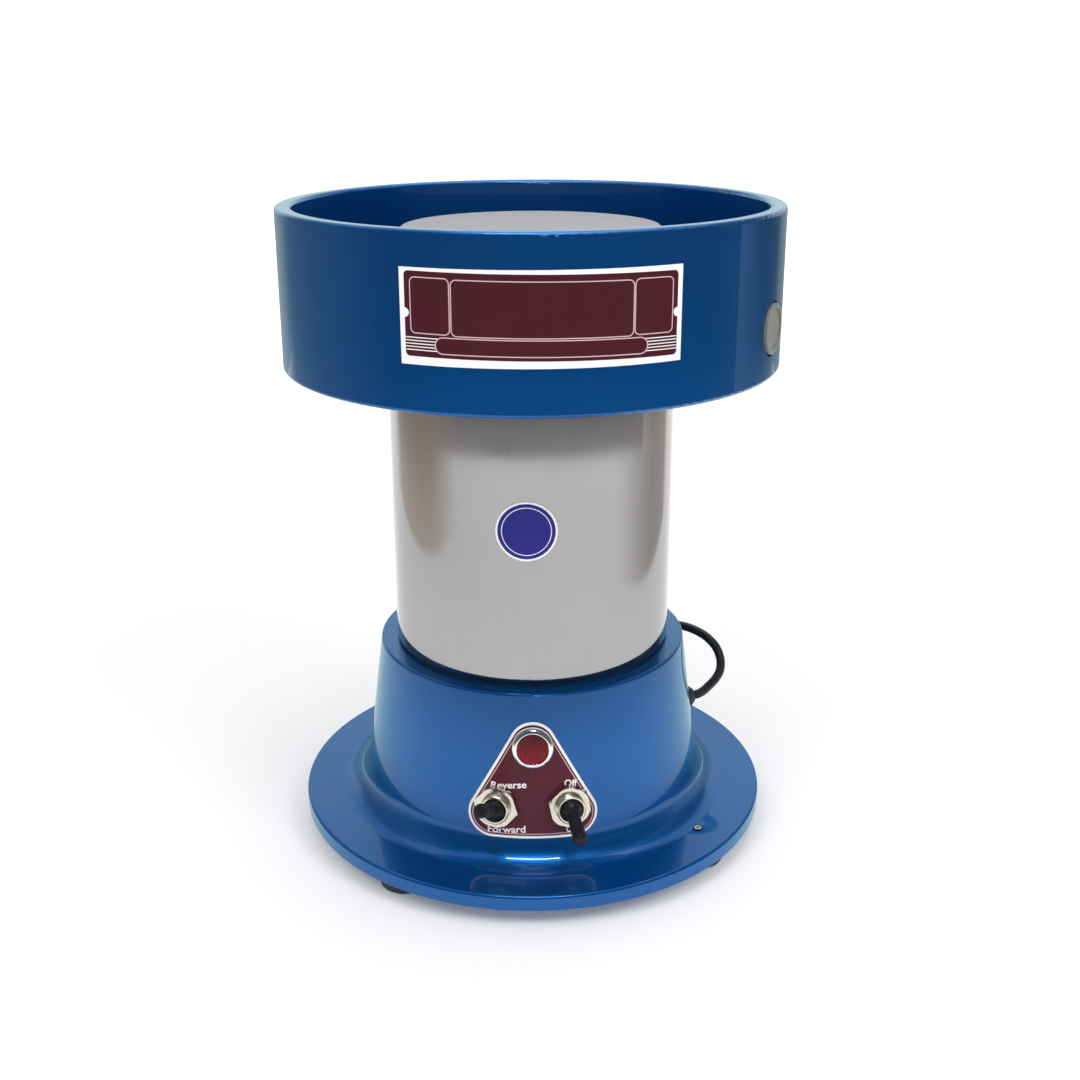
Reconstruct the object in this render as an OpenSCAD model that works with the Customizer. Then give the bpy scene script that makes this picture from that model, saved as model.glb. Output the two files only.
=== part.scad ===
// Bench polishing machine for watch crystals: an upright motor on a flanged
// base turns a flat lap disc inside a splash bowl.
// Origin: on the floor, on the motor's axis. +Z is up and the control panel
// faces -Y. Angles named az are turned from -Y towards +X.

/* [Base] */
// Radius of the flange that the machine stands on
flange_r = 101.2; // [95:0.1:120]
// Thickness of the flange
flange_t = 6.4; // [5:0.1:10]
// Radius of the base where the motor stands on it
deck_r = 65.6; // [62.5:0.1:70]
// Height of the base's top face above the floor
deck_z = 82.5; // [78:0.5:100]
// How far the base wall flares outward per mm down
wall_flare = 0.13; // [0.06:0.01:0.2]
// Wall of the base casting
base_wall = 5; // [4:0.1:7]
// Thickness of the top of the base casting
deck_t = 6; // [4:0.5:9]
// Radius of the hollow fillet between wall and flange
base_fillet = 12; // [6:0.5:16]
// Rounding of the base's edges
edge_r = 1.2; // [0.5:0.1:1.8]
// Thickness of the bottom cover
cover_t = 1.5; // [1:0.1:2.5]

/* [Feet] */
// Height of the rubber feet
foot_h = 7; // [6:0.1:14]
// Radius of a rubber foot
foot_r = 10.5; // [8:0.1:12]
// Distance from the flange's edge in to the middle of each foot
foot_inset = 14.7; // [13:0.1:17]
// Turn of the ring of feet about the axis
foot_az = 53; // [45:1:60]

/* [Motor] */
// Radius of the motor shell
shell_r = 58.7; // [55:0.1:60.5]
// Wall of the motor shell
shell_wall = 2.5; // [1.5:0.1:3.5]
// Height of the bowl's underside above the floor
bowl_z = 202.8; // [198:0.1:225]
// Room between each bearing and the stator and rotor stacks
end_room = 14.5; // [13.5:0.1:22]
// Radius of the rotor
rotor_r = 32.1; // [26:0.1:34]
// Gap between rotor and stator
air_gap = 0.4; // [0.35:0.05:0.8]
// Number of stator slots
slot_count = 24; // [12:2:30]
// Radius of the shaft at its bearings
shaft_r = 7.5; // [7.2:0.1:8]

/* [Bowl] */
// Outer radius of the bowl
bowl_r = 100.2; // [94:0.1:108]
// Height of the bowl
bowl_h = 63; // [58:0.5:80]
// Wall of the bowl
bowl_wall = 6.7; // [5:0.1:9]
// Thickness of the bowl's floor
bowl_floor = 8; // [6:0.5:10]
// Rounding of the rim
rim_r = 1.6; // [1:0.1:3]
// Radius of the side hole
side_hole_r = 10.5; // [8:0.1:11]
// Direction of the side hole
side_hole_az = 65; // [50:1:80]

/* [Lap] */
// Radius of the lap disc
disc_r = 52; // [42:0.5:70]
// Thickness of the lap disc
disc_t = 10; // [9:0.5:12]
// How far the disc's face lies below the rim
disc_drop = 9.3; // [5:0.1:12]
// Radius of the shaft's upper end
spindle_r = 7; // [6:0.1:7.1]

/* [Labels] */
// Width of the nameplate across the bowl
nameplate_w = 96; // [70:1:110]
// Height of the nameplate
nameplate_h = 33; // [24:1:38]
// Thickness of the printed plates
label_t = 0.5; // [0.4:0.1:1]
// Radius of the round badge
badge_r = 12; // [8:0.5:16]
// Width of the triangular control plate
panel_w = 52; // [50:1:60]
// Height of the triangular control plate
panel_h = 48.5; // [46:0.1:54]

/* [Controls] */
// Height of the switches above the floor
switch_z = 35.7; // [33:0.1:42]
// Half the angle between the two switches
switch_az = 11.5; // [11:0.1:14]
// Radius of the threaded bushings
bushing_r = 6; // [5.5:0.1:6.2]
// Width across the flats of the front nuts
nut_af = 16; // [14:0.1:17]
// Tilt of a lever either way
lever_tilt = 22; // [12:1:24]
// Length of a lever from its pivot
lever_len = 17.5; // [14:0.5:20]
// Turn of the direction switch in its hole
direction_twist = 20; // [0:1:30]
// Height of the lamp above the floor
lamp_z = 61.3; // [58:0.1:64]
// Radius of the lamp's bezel
bezel_r = 8.2; // [7.5:0.1:9]

/* [Cord] */
// Diameter of the mains cord
cord_d = 4; // [3.5:0.1:4.4]
// Height of the cord's exit above the floor
exit_z = 44; // [40:0.5:50]
// Direction of the cord's exit
exit_az = 98; // [92:1:110]
// Mean radius of the stored coil
coil_r = 22; // [20:0.5:24]

/* [Hidden] */
$fn = 96;

// Overlap that keeps cuts open and unions joined
over = 1;
// Clearance of a bolt in a plain hole
bolt_gap = 0.2;

// Base casting
wall_tilt = atan(wall_flare);
base_z = foot_h;
flange_z = base_z + flange_t;
deck_under = deck_z - deck_t;
cover_rim = 2.2;
cover_gap = 0.2;
boss_r = 5;
boss_h = 17;
boss_hole = boss_h - 3;
cover_screw_len = 11;
deck_hole_r = 38;
function wall_r(z) = deck_r + wall_flare * (deck_z - z);
function inner_r(z) = wall_r(z) - base_wall / cos(wall_tilt);
cavity_r = inner_r(flange_z);
cover_z = base_z + cover_t + 0.1;
boss_pitch_r = cavity_r - boss_r;
wall_normal = [cos(wall_tilt), sin(wall_tilt)];

// Feet: the first one's screw comes through the flange, the others stay below its face
foot_pitch_r = flange_r - foot_inset;
foot_recess = 3.4;
recess_gap = 0.5;
screw_proud = 0.4;
screw_short = 1.6;
function foot_screw_in(i) = flange_t + (i == 0 ? screw_proud : -screw_short);

// Fasteners
m3_r = 1.5;
m4_r = 2;
m5_r = 2.5;
m3_head_r = 2.2;
m3_head_h = 1.6;
m4_head_r = 4;
m4_head_h = 2.6;
m5_head_r = 4.6;
m5_head_h = 3.4;
head_dome = 1.2;
hex_r = 1.6;
quarter_az = [45, 135, 225, 315];
side_az = [0, 90, 180, 270];

// Motor, from the base upward
gasket_t = 0.8;
gasket_inset = 1;
motor_z = deck_z + gasket_t;
shell_in = shell_r - shell_wall;
fit_gap = 0.05;
bracket_t = 6;
cap_z = bowl_z - bracket_t;
bolt_head_down = 0.4;
bolt_head_z = bowl_z - m5_head_h - bolt_head_down;
spigot_h = 7;
spigot_wall = 3;
bearing_or = 17.5;
bearing_w = 11;
ball_r = 2.7;
ball_gap = 0.05;
ball_count = 8;
ring_wall = 3;
ball_pitch_r = (bearing_or + shaft_r) / 2;
housing_r = 24;
seat_floor = 1.7;
seat_lip = 4;
top_seat = 3.8;
bolt_floor = 3;
seat_step = 1;
low_bearing_z = motor_z + bracket_t + seat_floor + seat_step;
top_bearing_z = cap_z - bearing_w - top_seat;
washer_t = 0.8;
stack_z = low_bearing_z + bearing_w + end_room;
stack_top = top_bearing_z - end_room;
stack_len = stack_top - stack_z;
core_r = 10;
bore_r = rotor_r + air_gap;
bolt_inset = 5.7;
bolt_pitch_r = shell_in - bolt_inset;
slot_az = [for (i = [0:slot_count - 1]) 360 * (i + 0.5) / slot_count];
slot_depth = 11;
slot_w = 4.2;
slot_mouth = 1.4;
tooth_tip = 1.2;
wire_gap = 0.1;
winding_h = 11;
winding_up = 1;
winding_edge = 3;
winding_r = bore_r + tooth_tip + slot_depth;
cage_ring_h = 5;
cage_ring_in = 17;
blade_h = 5;
blade_t = 1.6;
blade_count = 9;
motor_screw_r = 45;
motor_screw_in = 5;
lead_hole_r = 4;
lead_hole_at = 33;
lead_hole_az = [20, 200];

// Bowl, lap and side plug
bowl_top = bowl_z + bowl_h;
bowl_in = bowl_r - bowl_wall;
floor_z = bowl_z + bowl_floor;
floor_fillet = 4;
foot_fillet = 1.5;
collar_r = 19;
collar_h = 5.2;
collar_edge = 1;
seal_r = 10.5;
seal_gap = 0.08;
seal_step = 2.2;
seal_under = 1;
shaft_hole_r = 8.5;
bowl_screw_r = 34;
disc_top = bowl_top - disc_drop;
disc_z = disc_top - disc_t;
shaft_past = 0.4;
shaft_under = 1;
shaft_low = low_bearing_z - shaft_past;
shaft_top = disc_z - shaft_under;
hub_flange_t = 6.5;
hub_flange_r = 34;
hub_flange_z = disc_z - hub_flange_t;
hub_barrel_r = 16;
hub_z = floor_z + collar_h + 1.2;
slinger_r = 25;
slinger_t = 2;
slinger_lip = 3;
slinger_drop = 3.7;
register_r = 12;
register_h = 2;
grub_r = 3;
grub_up = 11;
grub_flat = 0.8;
grub_inset = 1;
disc_screw_r = 26;
disc_screw_in = 6;
disc_screw_az = [0, 120, 240];
csk_r = 4.8;
side_hole_up = 1.3;
side_hole_z = floor_z + side_hole_r + side_hole_up;
plug_gap = 0.08;
plug_face = bowl_r + 1;
plug_head_t = 2.2;
plug_lip = 0.8;
plug_seal_t = 1.75;
plug_dish = 0.5;
plug_border = 2;
plug_catch = 0.2;
plug_catch_t = 1;

// Labels
nameplate_az = 2.3;
nameplate_drop = 28.8;
nameplate_z = bowl_top - nameplate_drop;
badge_z = 147.8;
badge_az = -2;
badge_t = 0.3;
panel_corner_r = 9.3;
panel_z = 22.5;

// Switches and lamp, measured outward from the base wall along its normal
nut_t = 2.8;
nut_out = label_t + nut_t;
bushing_proud = 2.7;
bushing_edge = 0.8;
bushing_out = nut_out + bushing_proud;
back_nut_t = 2;
switch_in = base_wall + back_nut_t + 2.5;
switch_body = [15, 28, 19];
lug = [1, 4.5, 6];
lug_pitch = 8.5;
hole_gap = 0.1;
spot_r = 10.8;
pivot_out = bushing_out - 1;
lever_ball_r = 4.4;
socket_r = 4.7;
lever_neck_r = 2.5;
lever_tip_r = 2.9;
lever_edge = 1.4;
lever_tail = 6;
lever_tail_r = 1.6;
lever_tail_gap = 1.5;
pivot_pin_r = 0.6;
pivot_gap = 0.05;
pivot_reach = bushing_r - 0.7;
direction_turn = -12;
power_turn = -20;
body_turn = direction_twist / 4;
bezel_h = 4.4;
bezel_edge = 1;
bezel_out = label_t + bezel_h;
lamp_stem_r = 5.9;
lamp_bore_r = 4.8;
lens_r = 6.2;
lens_in = 2;
lens_pitch = 1.1;
lens_rib = 0.35;
lamp_in = 16;
holder_in = 25;
lamp_nut_af = 15;
lamp_nut_t = 2.5;

// Electrical pieces inside the base
capacitor_at = [-34, 22];
capacitor_r = 15;
capacitor_h = 48;
capacitor_edge = 2;
clip_t = 1.2;
clip_h = 14;
clip_tab = 12;
block_at = [34, 8];
block = [16, 40, 13];
block_ways = 4;
block_pitch = 9;
block_screw_r = 2.3;
wire_r = 1.1;
lead_hole = 1.6;
block_hole_up = 5.5;
block_hole_in = 3;
clip_screw_at = capacitor_at + [0, capacitor_r + clip_tab / 2];

// Cord, plug and the stored coil
cord_r = cord_d / 2;
grommet_out = 3.5;
grommet_in = 11;
grommet_flange_r = 4.8;
grommet_flange_t = 1.4;
grommet_catch_r = 4.2;
grommet_skin = 0.8;
grommet_lift = 0.2;
grommet_neck_r = 3.6;
turn_gap = 0.6;
turn_pitch = cord_d + turn_gap;
coil_layers = 4;
coil_turns = 9;
coil_x = -12;
coil_y = 142;
coil_floor = 0.9;
coil_low = coil_floor + cord_r;
layer_turns = coil_turns / coil_layers;
coil_out = coil_r + layer_turns * turn_pitch / 2;
coil_in = coil_r - layer_turns * turn_pitch / 2;
tail_run = 18;
tail_r = 16.5;
plug_w = 35.3;
plug_t = 13.7;
plug_len = 30;
boot_len = 12;
boot_r = 3.6;
pin_r = 2;
pin_len = 19;
pin_pitch = 18.6;
tie_w = 7;
tie_t = 0.7;
cord_route = [
    [73.4, 10.3, 44.5], [74.9, 10.5, 44.7], [77.4, 11.3, 45.6], [79.8, 12.5, 47.2],
    [83.3, 14.5, 50],
    [85.8, 17, 53.2], [86.5, 20.5, 57], [85.2, 24.5, 60.8], [82.6, 27.5, 63.6],
    [79, 30.5, 65.7], [74.5, 33.5, 67], [70, 36.8, 67.2], [64, 41.5, 66],
    [58, 46.8, 63.2], [52, 52.5, 58.6], [46.4, 58.6, 52.4], [41.2, 65, 45],
    [36.6, 71.5, 37.2], [32.4, 78, 29.6], [28.4, 84.8, 22.8], [24.9, 91.5, 18],
    [21.8, 98.2, 15.9], [19.4, 104.8, 14.4], [17.6, 111.4, 11.4], [16.2, 118, 7.8],
    [15.4, 124.6, 4.8], [15.2, 131.2, 3.2], [15.2, 138, 2.9]
];

// Places children on the base wall: +Z points out of it and +Y up along it
module on_wall(az, z) {
    rotate([0, 0, az])
        translate([0, -wall_r(z), z])
            rotate([90 - wall_tilt, 0, 0])
                children();
}

// Places children on an upright cylinder: +Z points out of it and +Y is up
module on_round(az, z, r) {
    rotate([0, 0, az]) translate([0, -r, z]) rotate([90, 0, 0]) children();
}

// Copies children round the axis
module ring_of(angles, r, z = 0) {
    for (a = angles) rotate([0, 0, a]) translate([0, -r, z]) children();
}

module ring(r_out, r_in, h) {
    difference() {
        cylinder(r = r_out, h = h);
        translate([0, 0, -over]) cylinder(r = r_in, h = h + 2 * over);
    }
}

// Six-sided prism of a given width across its flats
module hex(af, h) {
    cylinder(r = af / 2 / cos(30), h = h, $fn = 6);
}

// Hexagon nut with both faces' corners chamfered
module nut(af, h, bore) {
    corner = af / 2 / cos(30);
    chamfer = (corner - af / 2) * 0.8;
    difference() {
        intersection() {
            hex(af, h);
            union() {
                cylinder(r = corner + over, h = h - chamfer / 2);
                translate([0, 0, h - chamfer / 2])
                    cylinder(r1 = corner, r2 = corner - chamfer, h = chamfer / 2);
            }
        }
        translate([0, 0, -over]) cylinder(r = bore, h = h + 2 * over);
    }
}

// Screw along -Z with its head's underside at zero
module pan_screw(r, len, head_r, head_h) {
    translate([0, 0, -len]) cylinder(r = r, h = len + over);
    difference() {
        rotate_extrude()
            intersection() {
                translate([0, head_h - head_dome * head_r]) circle(r = head_dome * head_r);
                square([head_r, head_h]);
            }
        translate([0, 0, head_h / 2]) hex(2 * hex_r, head_h);
    }
}

// What a rounded edge takes away: the corner beyond a circle that meets both faces
module corner_cut(centre, r, on_a, corner, on_b) {
    difference() {
        polygon([centre, on_a, corner, on_b]);
        translate(centre) circle(r = r);
    }
}

// Rounds the corner of an upright wall: side is 1 outside and -1 inside,
// face is 1 for a top edge and -1 for a lower one
module edge_cut(r, z, e, side, face) {
    c = [r - side * e, z - face * e];
    reach = e + 0.01;
    difference() {
        translate([min(c[0], c[0] + side * reach), min(c[1], c[1] + face * reach)])
            square(reach);
        translate(c) circle(r = e);
    }
}

// Outer form of the base, turned about the axis
module base_outline() {
    c = [wall_r(flange_z + base_fillet) + base_fillet / wall_normal[0], flange_z + base_fillet];
    touch = c - base_fillet * wall_normal;
    top_c = [wall_r(deck_z - edge_r) - edge_r / wall_normal[0], deck_z - edge_r];
    difference() {
        union() {
            polygon([[0, base_z], [wall_r(base_z), base_z], [deck_r, deck_z], [0, deck_z]]);
            translate([0, base_z]) square([flange_r, flange_t]);
            difference() {
                polygon([[0, flange_z - over], [c[0], flange_z - over], [c[0], flange_z],
                    [c[0], touch[1]], touch, [0, touch[1]]]);
                translate(c) circle(r = base_fillet);
            }
        }
        edge_cut(flange_r, flange_z, edge_r, 1, 1);
        edge_cut(flange_r, base_z, edge_r / 2, 1, -1);
        corner_cut(top_c, edge_r, top_c + edge_r * wall_normal, [deck_r, deck_z],
            [top_c[0], deck_z]);
    }
}

module base_cavity() {
    polygon([[0, base_z - over], [cavity_r + cover_rim, base_z - over],
        [cavity_r + cover_rim, cover_z], [cavity_r, cover_z],
        [cavity_r, flange_z], [inner_r(deck_under), deck_under], [0, deck_under]]);
}

module base_casting() {
    color("#0b4a8c")
        difference() {
            union() {
                difference() {
                    rotate_extrude() base_outline();
                    rotate_extrude() base_cavity();
                }
                intersection() {
                    ring_of(quarter_az, boss_pitch_r, cover_z) cylinder(r = boss_r, h = boss_h);
                    rotate_extrude() base_outline();
                }
            }
            translate([0, 0, deck_under - over])
                cylinder(r = deck_hole_r, h = deck_t + 2 * over);
            ring_of(quarter_az, boss_pitch_r, cover_z - over)
                cylinder(r = m4_r, h = boss_hole);
            ring_of(quarter_az, motor_screw_r, deck_under - over)
                cylinder(r = m5_r + bolt_gap, h = deck_t + 2 * over);
            for (i = [0:3]) ring_of([foot_az + 90 * i], foot_pitch_r, base_z - over)
                cylinder(r = m4_r, h = foot_screw_in(i) + over);
            for (az = [-switch_az, switch_az]) on_wall(az, switch_z) {
                translate([0, 0, -2 * base_wall])
                    cylinder(r = bushing_r + hole_gap, h = 3 * base_wall);
                translate([0, 0, -2 * base_wall]) cylinder(r = spot_r, h = base_wall);
            }
            on_wall(0, lamp_z) {
                translate([0, 0, -2 * base_wall])
                    cylinder(r = lamp_stem_r + hole_gap, h = 3 * base_wall);
                translate([0, 0, -2 * base_wall]) cylinder(r = spot_r, h = base_wall);
            }
            on_wall(exit_az, exit_z) translate([0, 0, -2 * base_wall])
                cylinder(r = grommet_neck_r, h = 3 * base_wall);
        }
}

module bottom_cover() {
    color("#8d9196")
        difference() {
            translate([0, 0, base_z])
                cylinder(r = cavity_r + cover_rim - cover_gap, h = cover_t + 0.1);
            ring_of(quarter_az, boss_pitch_r, base_z - over)
                cylinder(r = m4_r + bolt_gap, h = cover_t + 2 * over);
            for (p = [clip_screw_at, block_at]) translate([p[0], p[1], base_z - over])
                cylinder(r = m3_r, h = cover_t + 2 * over);
        }
}

module cover_screws() {
    color("#c2c5c8")
        ring_of(quarter_az, boss_pitch_r, base_z) mirror([0, 0, 1])
            pan_screw(m4_r, cover_screw_len, m4_head_r, m4_head_h);
}

module rubber_feet() {
    color("#1b1b1d")
        ring_of([for (i = [0:3]) foot_az + 90 * i], foot_pitch_r)
            rotate_extrude()
                difference() {
                    square([foot_r, foot_h]);
                    edge_cut(foot_r, 0, edge_r, 1, -1);
                    translate([-over, -over]) square([over + m4_head_r + recess_gap, foot_recess + over]);
                    translate([-over, -over]) square([over + m4_r + bolt_gap, foot_h + 2 * over]);
                }
}

module foot_screws() {
    color("#c2c5c8")
        for (i = [0:3]) ring_of([foot_az + 90 * i], foot_pitch_r, foot_recess) mirror([0, 0, 1])
            pan_screw(m4_r, foot_h - foot_recess + foot_screw_in(i), m4_head_r, m4_head_h);
}

module motor_gasket() {
    color("#26272a")
        difference() {
            translate([0, 0, deck_z]) ring(shell_r - gasket_inset, deck_hole_r, gasket_t);
            ring_of(quarter_az, motor_screw_r, deck_z - over)
                cylinder(r = m5_r + bolt_gap, h = gasket_t + 2 * over);
        }
}

module motor_screws() {
    color("#c2c5c8")
        ring_of(quarter_az, motor_screw_r, deck_under) mirror([0, 0, 1])
            pan_screw(m5_r, deck_t + gasket_t + motor_screw_in, m5_head_r, m5_head_h);
}

module motor_shell() {
    color("#b4b4b6")
        rotate_extrude()
            difference() {
                translate([shell_in, motor_z]) square([shell_wall, cap_z - motor_z]);
                edge_cut(shell_r, motor_z, edge_r, 1, -1);
            }
}

module lower_bracket() {
    color("#9ea1a5")
        difference() {
            translate([0, 0, motor_z]) {
                cylinder(r = shell_in - fit_gap, h = bracket_t);
                cylinder(r = housing_r, h = low_bearing_z + bearing_w - motor_z);
                ring_of(side_az, bolt_pitch_r) intersection() {
                    cylinder(r = boss_r, h = bracket_t + boss_r);
                    translate([0, bolt_pitch_r, 0])
                        cylinder(r = shell_in - fit_gap, h = bracket_t + boss_r);
                }
            }
            translate([0, 0, low_bearing_z]) cylinder(r = bearing_or, h = bearing_w + over);
            translate([0, 0, low_bearing_z - over])
                cylinder(r = bearing_or - seat_lip, h = 2 * over);
            ring_of(side_az, bolt_pitch_r, motor_z + bolt_floor - over)
                cylinder(r = m5_r, h = bracket_t + 2 * boss_r);
            ring_of(quarter_az, motor_screw_r, motor_z - over)
                cylinder(r = m5_r, h = motor_screw_in + over);
            ring_of(lead_hole_az, lead_hole_at, motor_z - over)
                cylinder(r = lead_hole_r, h = bracket_t + 2 * over);
        }
}

module upper_bracket() {
    low = top_bearing_z;
    color("#9ea1a5")
        difference() {
            union() {
                translate([0, 0, cap_z]) cylinder(r = shell_r, h = bracket_t);
                translate([0, 0, cap_z - spigot_h])
                    ring(shell_in - fit_gap, shell_in - spigot_wall, spigot_h + over);
                translate([0, 0, low]) cylinder(r = housing_r, h = cap_z - low + over);
                ring_of(side_az, bolt_pitch_r, cap_z - spigot_h) intersection() {
                    cylinder(r = boss_r, h = spigot_h + over);
                    translate([0, bolt_pitch_r, 0])
                        cylinder(r = shell_in - fit_gap, h = spigot_h + over);
                }
            }
            translate([0, 0, low - over]) cylinder(r = bearing_or, h = bearing_w + washer_t + over);
            translate([0, 0, low]) cylinder(r = shaft_hole_r, h = bowl_z - low + over);
            ring_of(side_az, bolt_pitch_r, cap_z - spigot_h - over)
                cylinder(r = m5_r + bolt_gap, h = bracket_t + spigot_h + 2 * over);
            ring_of(side_az, bolt_pitch_r, bolt_head_z)
                cylinder(r = m5_head_r + bolt_gap, h = m5_head_h + over);
            ring_of(quarter_az, bowl_screw_r, cap_z - over)
                cylinder(r = m5_r, h = bracket_t + 2 * over);
        }
}

module tie_bolts() {
    color("#c2c5c8")
        ring_of(side_az, bolt_pitch_r, bolt_head_z)
            pan_screw(m5_r, bolt_head_z - motor_z - bolt_floor, m5_head_r, m5_head_h);
}

module stator_core() {
    color("#6f7276")
        translate([0, 0, stack_z])
            difference() {
                ring(shell_in, bore_r, stack_len);
                ring_of(slot_az, 0, -over) {
                    translate([-slot_w / 2, -winding_r, 0])
                        cube([slot_w, slot_depth, stack_len + 2 * over]);
                    translate([-slot_mouth / 2, -winding_r, 0])
                        cube([slot_mouth, slot_depth + 2 * tooth_tip, stack_len + 2 * over]);
                }
                ring_of(side_az, bolt_pitch_r, -over)
                    cylinder(r = m5_r + bolt_gap, h = stack_len + 2 * over);
            }
}

// Copper in the slots with a rounded bundle over each end of the stack
module stator_windings() {
    bundle_in = winding_r - slot_depth + wire_gap;
    bundle_w = slot_depth - 2 * wire_gap;
    color("#b0672f")
        union() {
            ring_of(slot_az, 0)
                translate([-slot_w / 2 + wire_gap, -winding_r + wire_gap, stack_z - 2 * winding_up])
                    cube([slot_w - 2 * wire_gap, bundle_w, stack_len + 4 * winding_up]);
            for (z = [stack_z - winding_up - winding_h, stack_top + winding_up]) rotate_extrude()
                translate([bundle_in, z]) difference() {
                    square([bundle_w, winding_h]);
                    for (face = [1, -1]) {
                        edge_cut(bundle_w, face > 0 ? winding_h : 0, winding_edge, 1, face);
                        edge_cut(0, face > 0 ? winding_h : 0, winding_edge, -1, face);
                    }
                }
        }
}

module race(r_out, r_in, z) {
    translate([0, 0, z])
        difference() {
            ring(r_out, r_in, bearing_w);
            rotate_extrude() translate([ball_pitch_r, bearing_w / 2]) circle(r = ball_r + ball_gap);
        }
}

module bearing_outer_rings() {
    color("#cfd2d5")
        for (z = [low_bearing_z, top_bearing_z]) race(bearing_or, bearing_or - ring_wall, z);
}

module bearing_inner_rings() {
    color("#cfd2d5")
        for (z = [low_bearing_z, top_bearing_z]) race(shaft_r + ring_wall, shaft_r, z);
}

module bearing_balls() {
    color("#e3e5e7")
        for (z = [low_bearing_z, top_bearing_z])
            ring_of([for (i = [0:ball_count - 1]) 360 * i / ball_count], ball_pitch_r,
                z + bearing_w / 2) sphere(r = ball_r);
}

module wave_washer() {
    color("#8a8d90")
        translate([0, 0, top_bearing_z + bearing_w])
            ring(bearing_or - 0.2, bearing_or - ring_wall, washer_t);
}

module motor_shaft() {
    shoulder_z = low_bearing_z + bearing_w;
    neck_z = top_bearing_z + bearing_w + 2;
    color("#a9acb0")
        difference() {
            union() {
                translate([0, 0, shaft_low]) cylinder(r = shaft_r, h = neck_z - shaft_low);
                translate([0, 0, shoulder_z]) cylinder(r = core_r, h = top_bearing_z - shoulder_z);
                translate([0, 0, neck_z - over]) cylinder(r = spindle_r, h = shaft_top - neck_z + over);
            }
            rotate([0, 0, side_hole_az])
                translate([-spindle_r, -2 * spindle_r, hub_z + grub_up - grub_r - over])
                cube([2 * spindle_r, spindle_r + grub_flat, 2 * (grub_r + over)]);
        }
}

module rotor_core() {
    color("#7b7e82")
        translate([0, 0, stack_z]) ring(rotor_r, core_r, stack_len);
}

// Cast aluminium end rings, each with its fan blades
module rotor_cage() {
    color("#c4c7ca")
        for (end = [0, 1])
            translate([0, 0, stack_z + stack_len / 2]) mirror([0, 0, end])
                translate([0, 0, stack_len / 2]) {
                    ring(rotor_r - 1, cage_ring_in, cage_ring_h);
                    ring_of([for (i = [0:blade_count - 1]) 360 * i / blade_count], 0)
                        translate([-blade_t / 2, -rotor_r + 3, cage_ring_h - over])
                            cube([blade_t, rotor_r - 3 - cage_ring_in - 1, blade_h + over]);
                }
}

module bowl_outline() {
    difference() {
        union() {
            difference() {
                translate([0, bowl_z]) square([bowl_r, bowl_h]);
                difference() {
                    translate([-over, floor_z]) square([bowl_in + over, bowl_h]);
                    edge_cut(bowl_in, floor_z, floor_fillet, 1, -1);
                }
            }
            translate([0, floor_z - over]) square([collar_r, collar_h + over]);
        }
        edge_cut(bowl_r, bowl_top, rim_r, 1, 1);
        edge_cut(bowl_in, bowl_top, rim_r, -1, 1);
        edge_cut(bowl_r, bowl_z, foot_fillet, 1, -1);
        edge_cut(collar_r, floor_z + collar_h, collar_edge, 1, 1);
        translate([-over, bowl_z + seal_step]) square([seal_r + over, bowl_h]);
        translate([-over, bowl_z - over]) square([shaft_hole_r + over, bowl_h]);
    }
}

module bowl() {
    color("#0a4788")
        difference() {
            rotate_extrude() bowl_outline();
            ring_of(quarter_az, bowl_screw_r, bowl_z - over)
                cylinder(r = m5_r + bolt_gap, h = bowl_floor + 2 * over);
            on_round(side_hole_az, side_hole_z, bowl_in - 2 * over)
                cylinder(r = side_hole_r, h = bowl_wall + 4 * over);
        }
}

module bowl_screws() {
    color("#c2c5c8")
        ring_of(quarter_az, bowl_screw_r, floor_z)
            pan_screw(m5_r, bowl_floor + bracket_t, m5_head_r, m5_head_h);
}

module shaft_seal() {
    color("#202124")
        translate([0, 0, bowl_z + seal_step])
            ring(seal_r, spindle_r + seal_gap, bowl_floor + collar_h - seal_step - seal_under);
}

module lap_hub() {
    color("#a3a6aa")
        difference() {
            rotate_extrude() {
                translate([0, hub_z]) square([hub_barrel_r, hub_flange_z - hub_z + over]);
                translate([0, hub_z]) square([slinger_r, slinger_t]);
                translate([slinger_r - slinger_lip, hub_z - slinger_drop])
                    square([slinger_lip, slinger_drop + slinger_t]);
                translate([0, hub_flange_z]) square([hub_flange_r, hub_flange_t]);
                translate([0, disc_z - over]) square([register_r, register_h + over]);
            }
            translate([0, 0, hub_z - over]) cylinder(r = spindle_r, h = shaft_top - hub_z + over);
            on_round(side_hole_az, hub_z + grub_up, hub_barrel_r)
                translate([0, 0, -hub_barrel_r]) cylinder(r = grub_r, h = hub_barrel_r + over);
            ring_of(disc_screw_az, disc_screw_r, hub_flange_z - over) {
                cylinder(r = m5_r + bolt_gap, h = hub_flange_t + 2 * over);
                cylinder(r = csk_r + bolt_gap, h = over);
                translate([0, 0, over])
                    cylinder(r1 = csk_r + bolt_gap, r2 = m5_r + bolt_gap, h = csk_r - m5_r);
            }
        }
}

module hub_grub_screw() {
    tip = spindle_r - grub_flat;
    len = hub_barrel_r - grub_inset - tip;
    color("#303236")
        on_round(side_hole_az, hub_z + grub_up, tip)
            difference() {
                cylinder(r = grub_r, h = len);
                translate([0, 0, len - grub_r]) hex(grub_r, 2 * grub_r);
            }
}

module lap_disc() {
    color("#bfc2c4")
        difference() {
            rotate_extrude()
                difference() {
                    translate([0, disc_z]) square([disc_r, disc_t]);
                    edge_cut(disc_r, disc_top, edge_r, 1, 1);
                    edge_cut(disc_r, disc_z, edge_r / 2, 1, -1);
                    translate([-over, disc_z - over])
                        square([register_r + fit_gap + over, register_h + 0.3 + over]);
                }
            ring_of(disc_screw_az, disc_screw_r, disc_z - over)
                cylinder(r = m5_r, h = disc_screw_in + over);
        }
}

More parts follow.
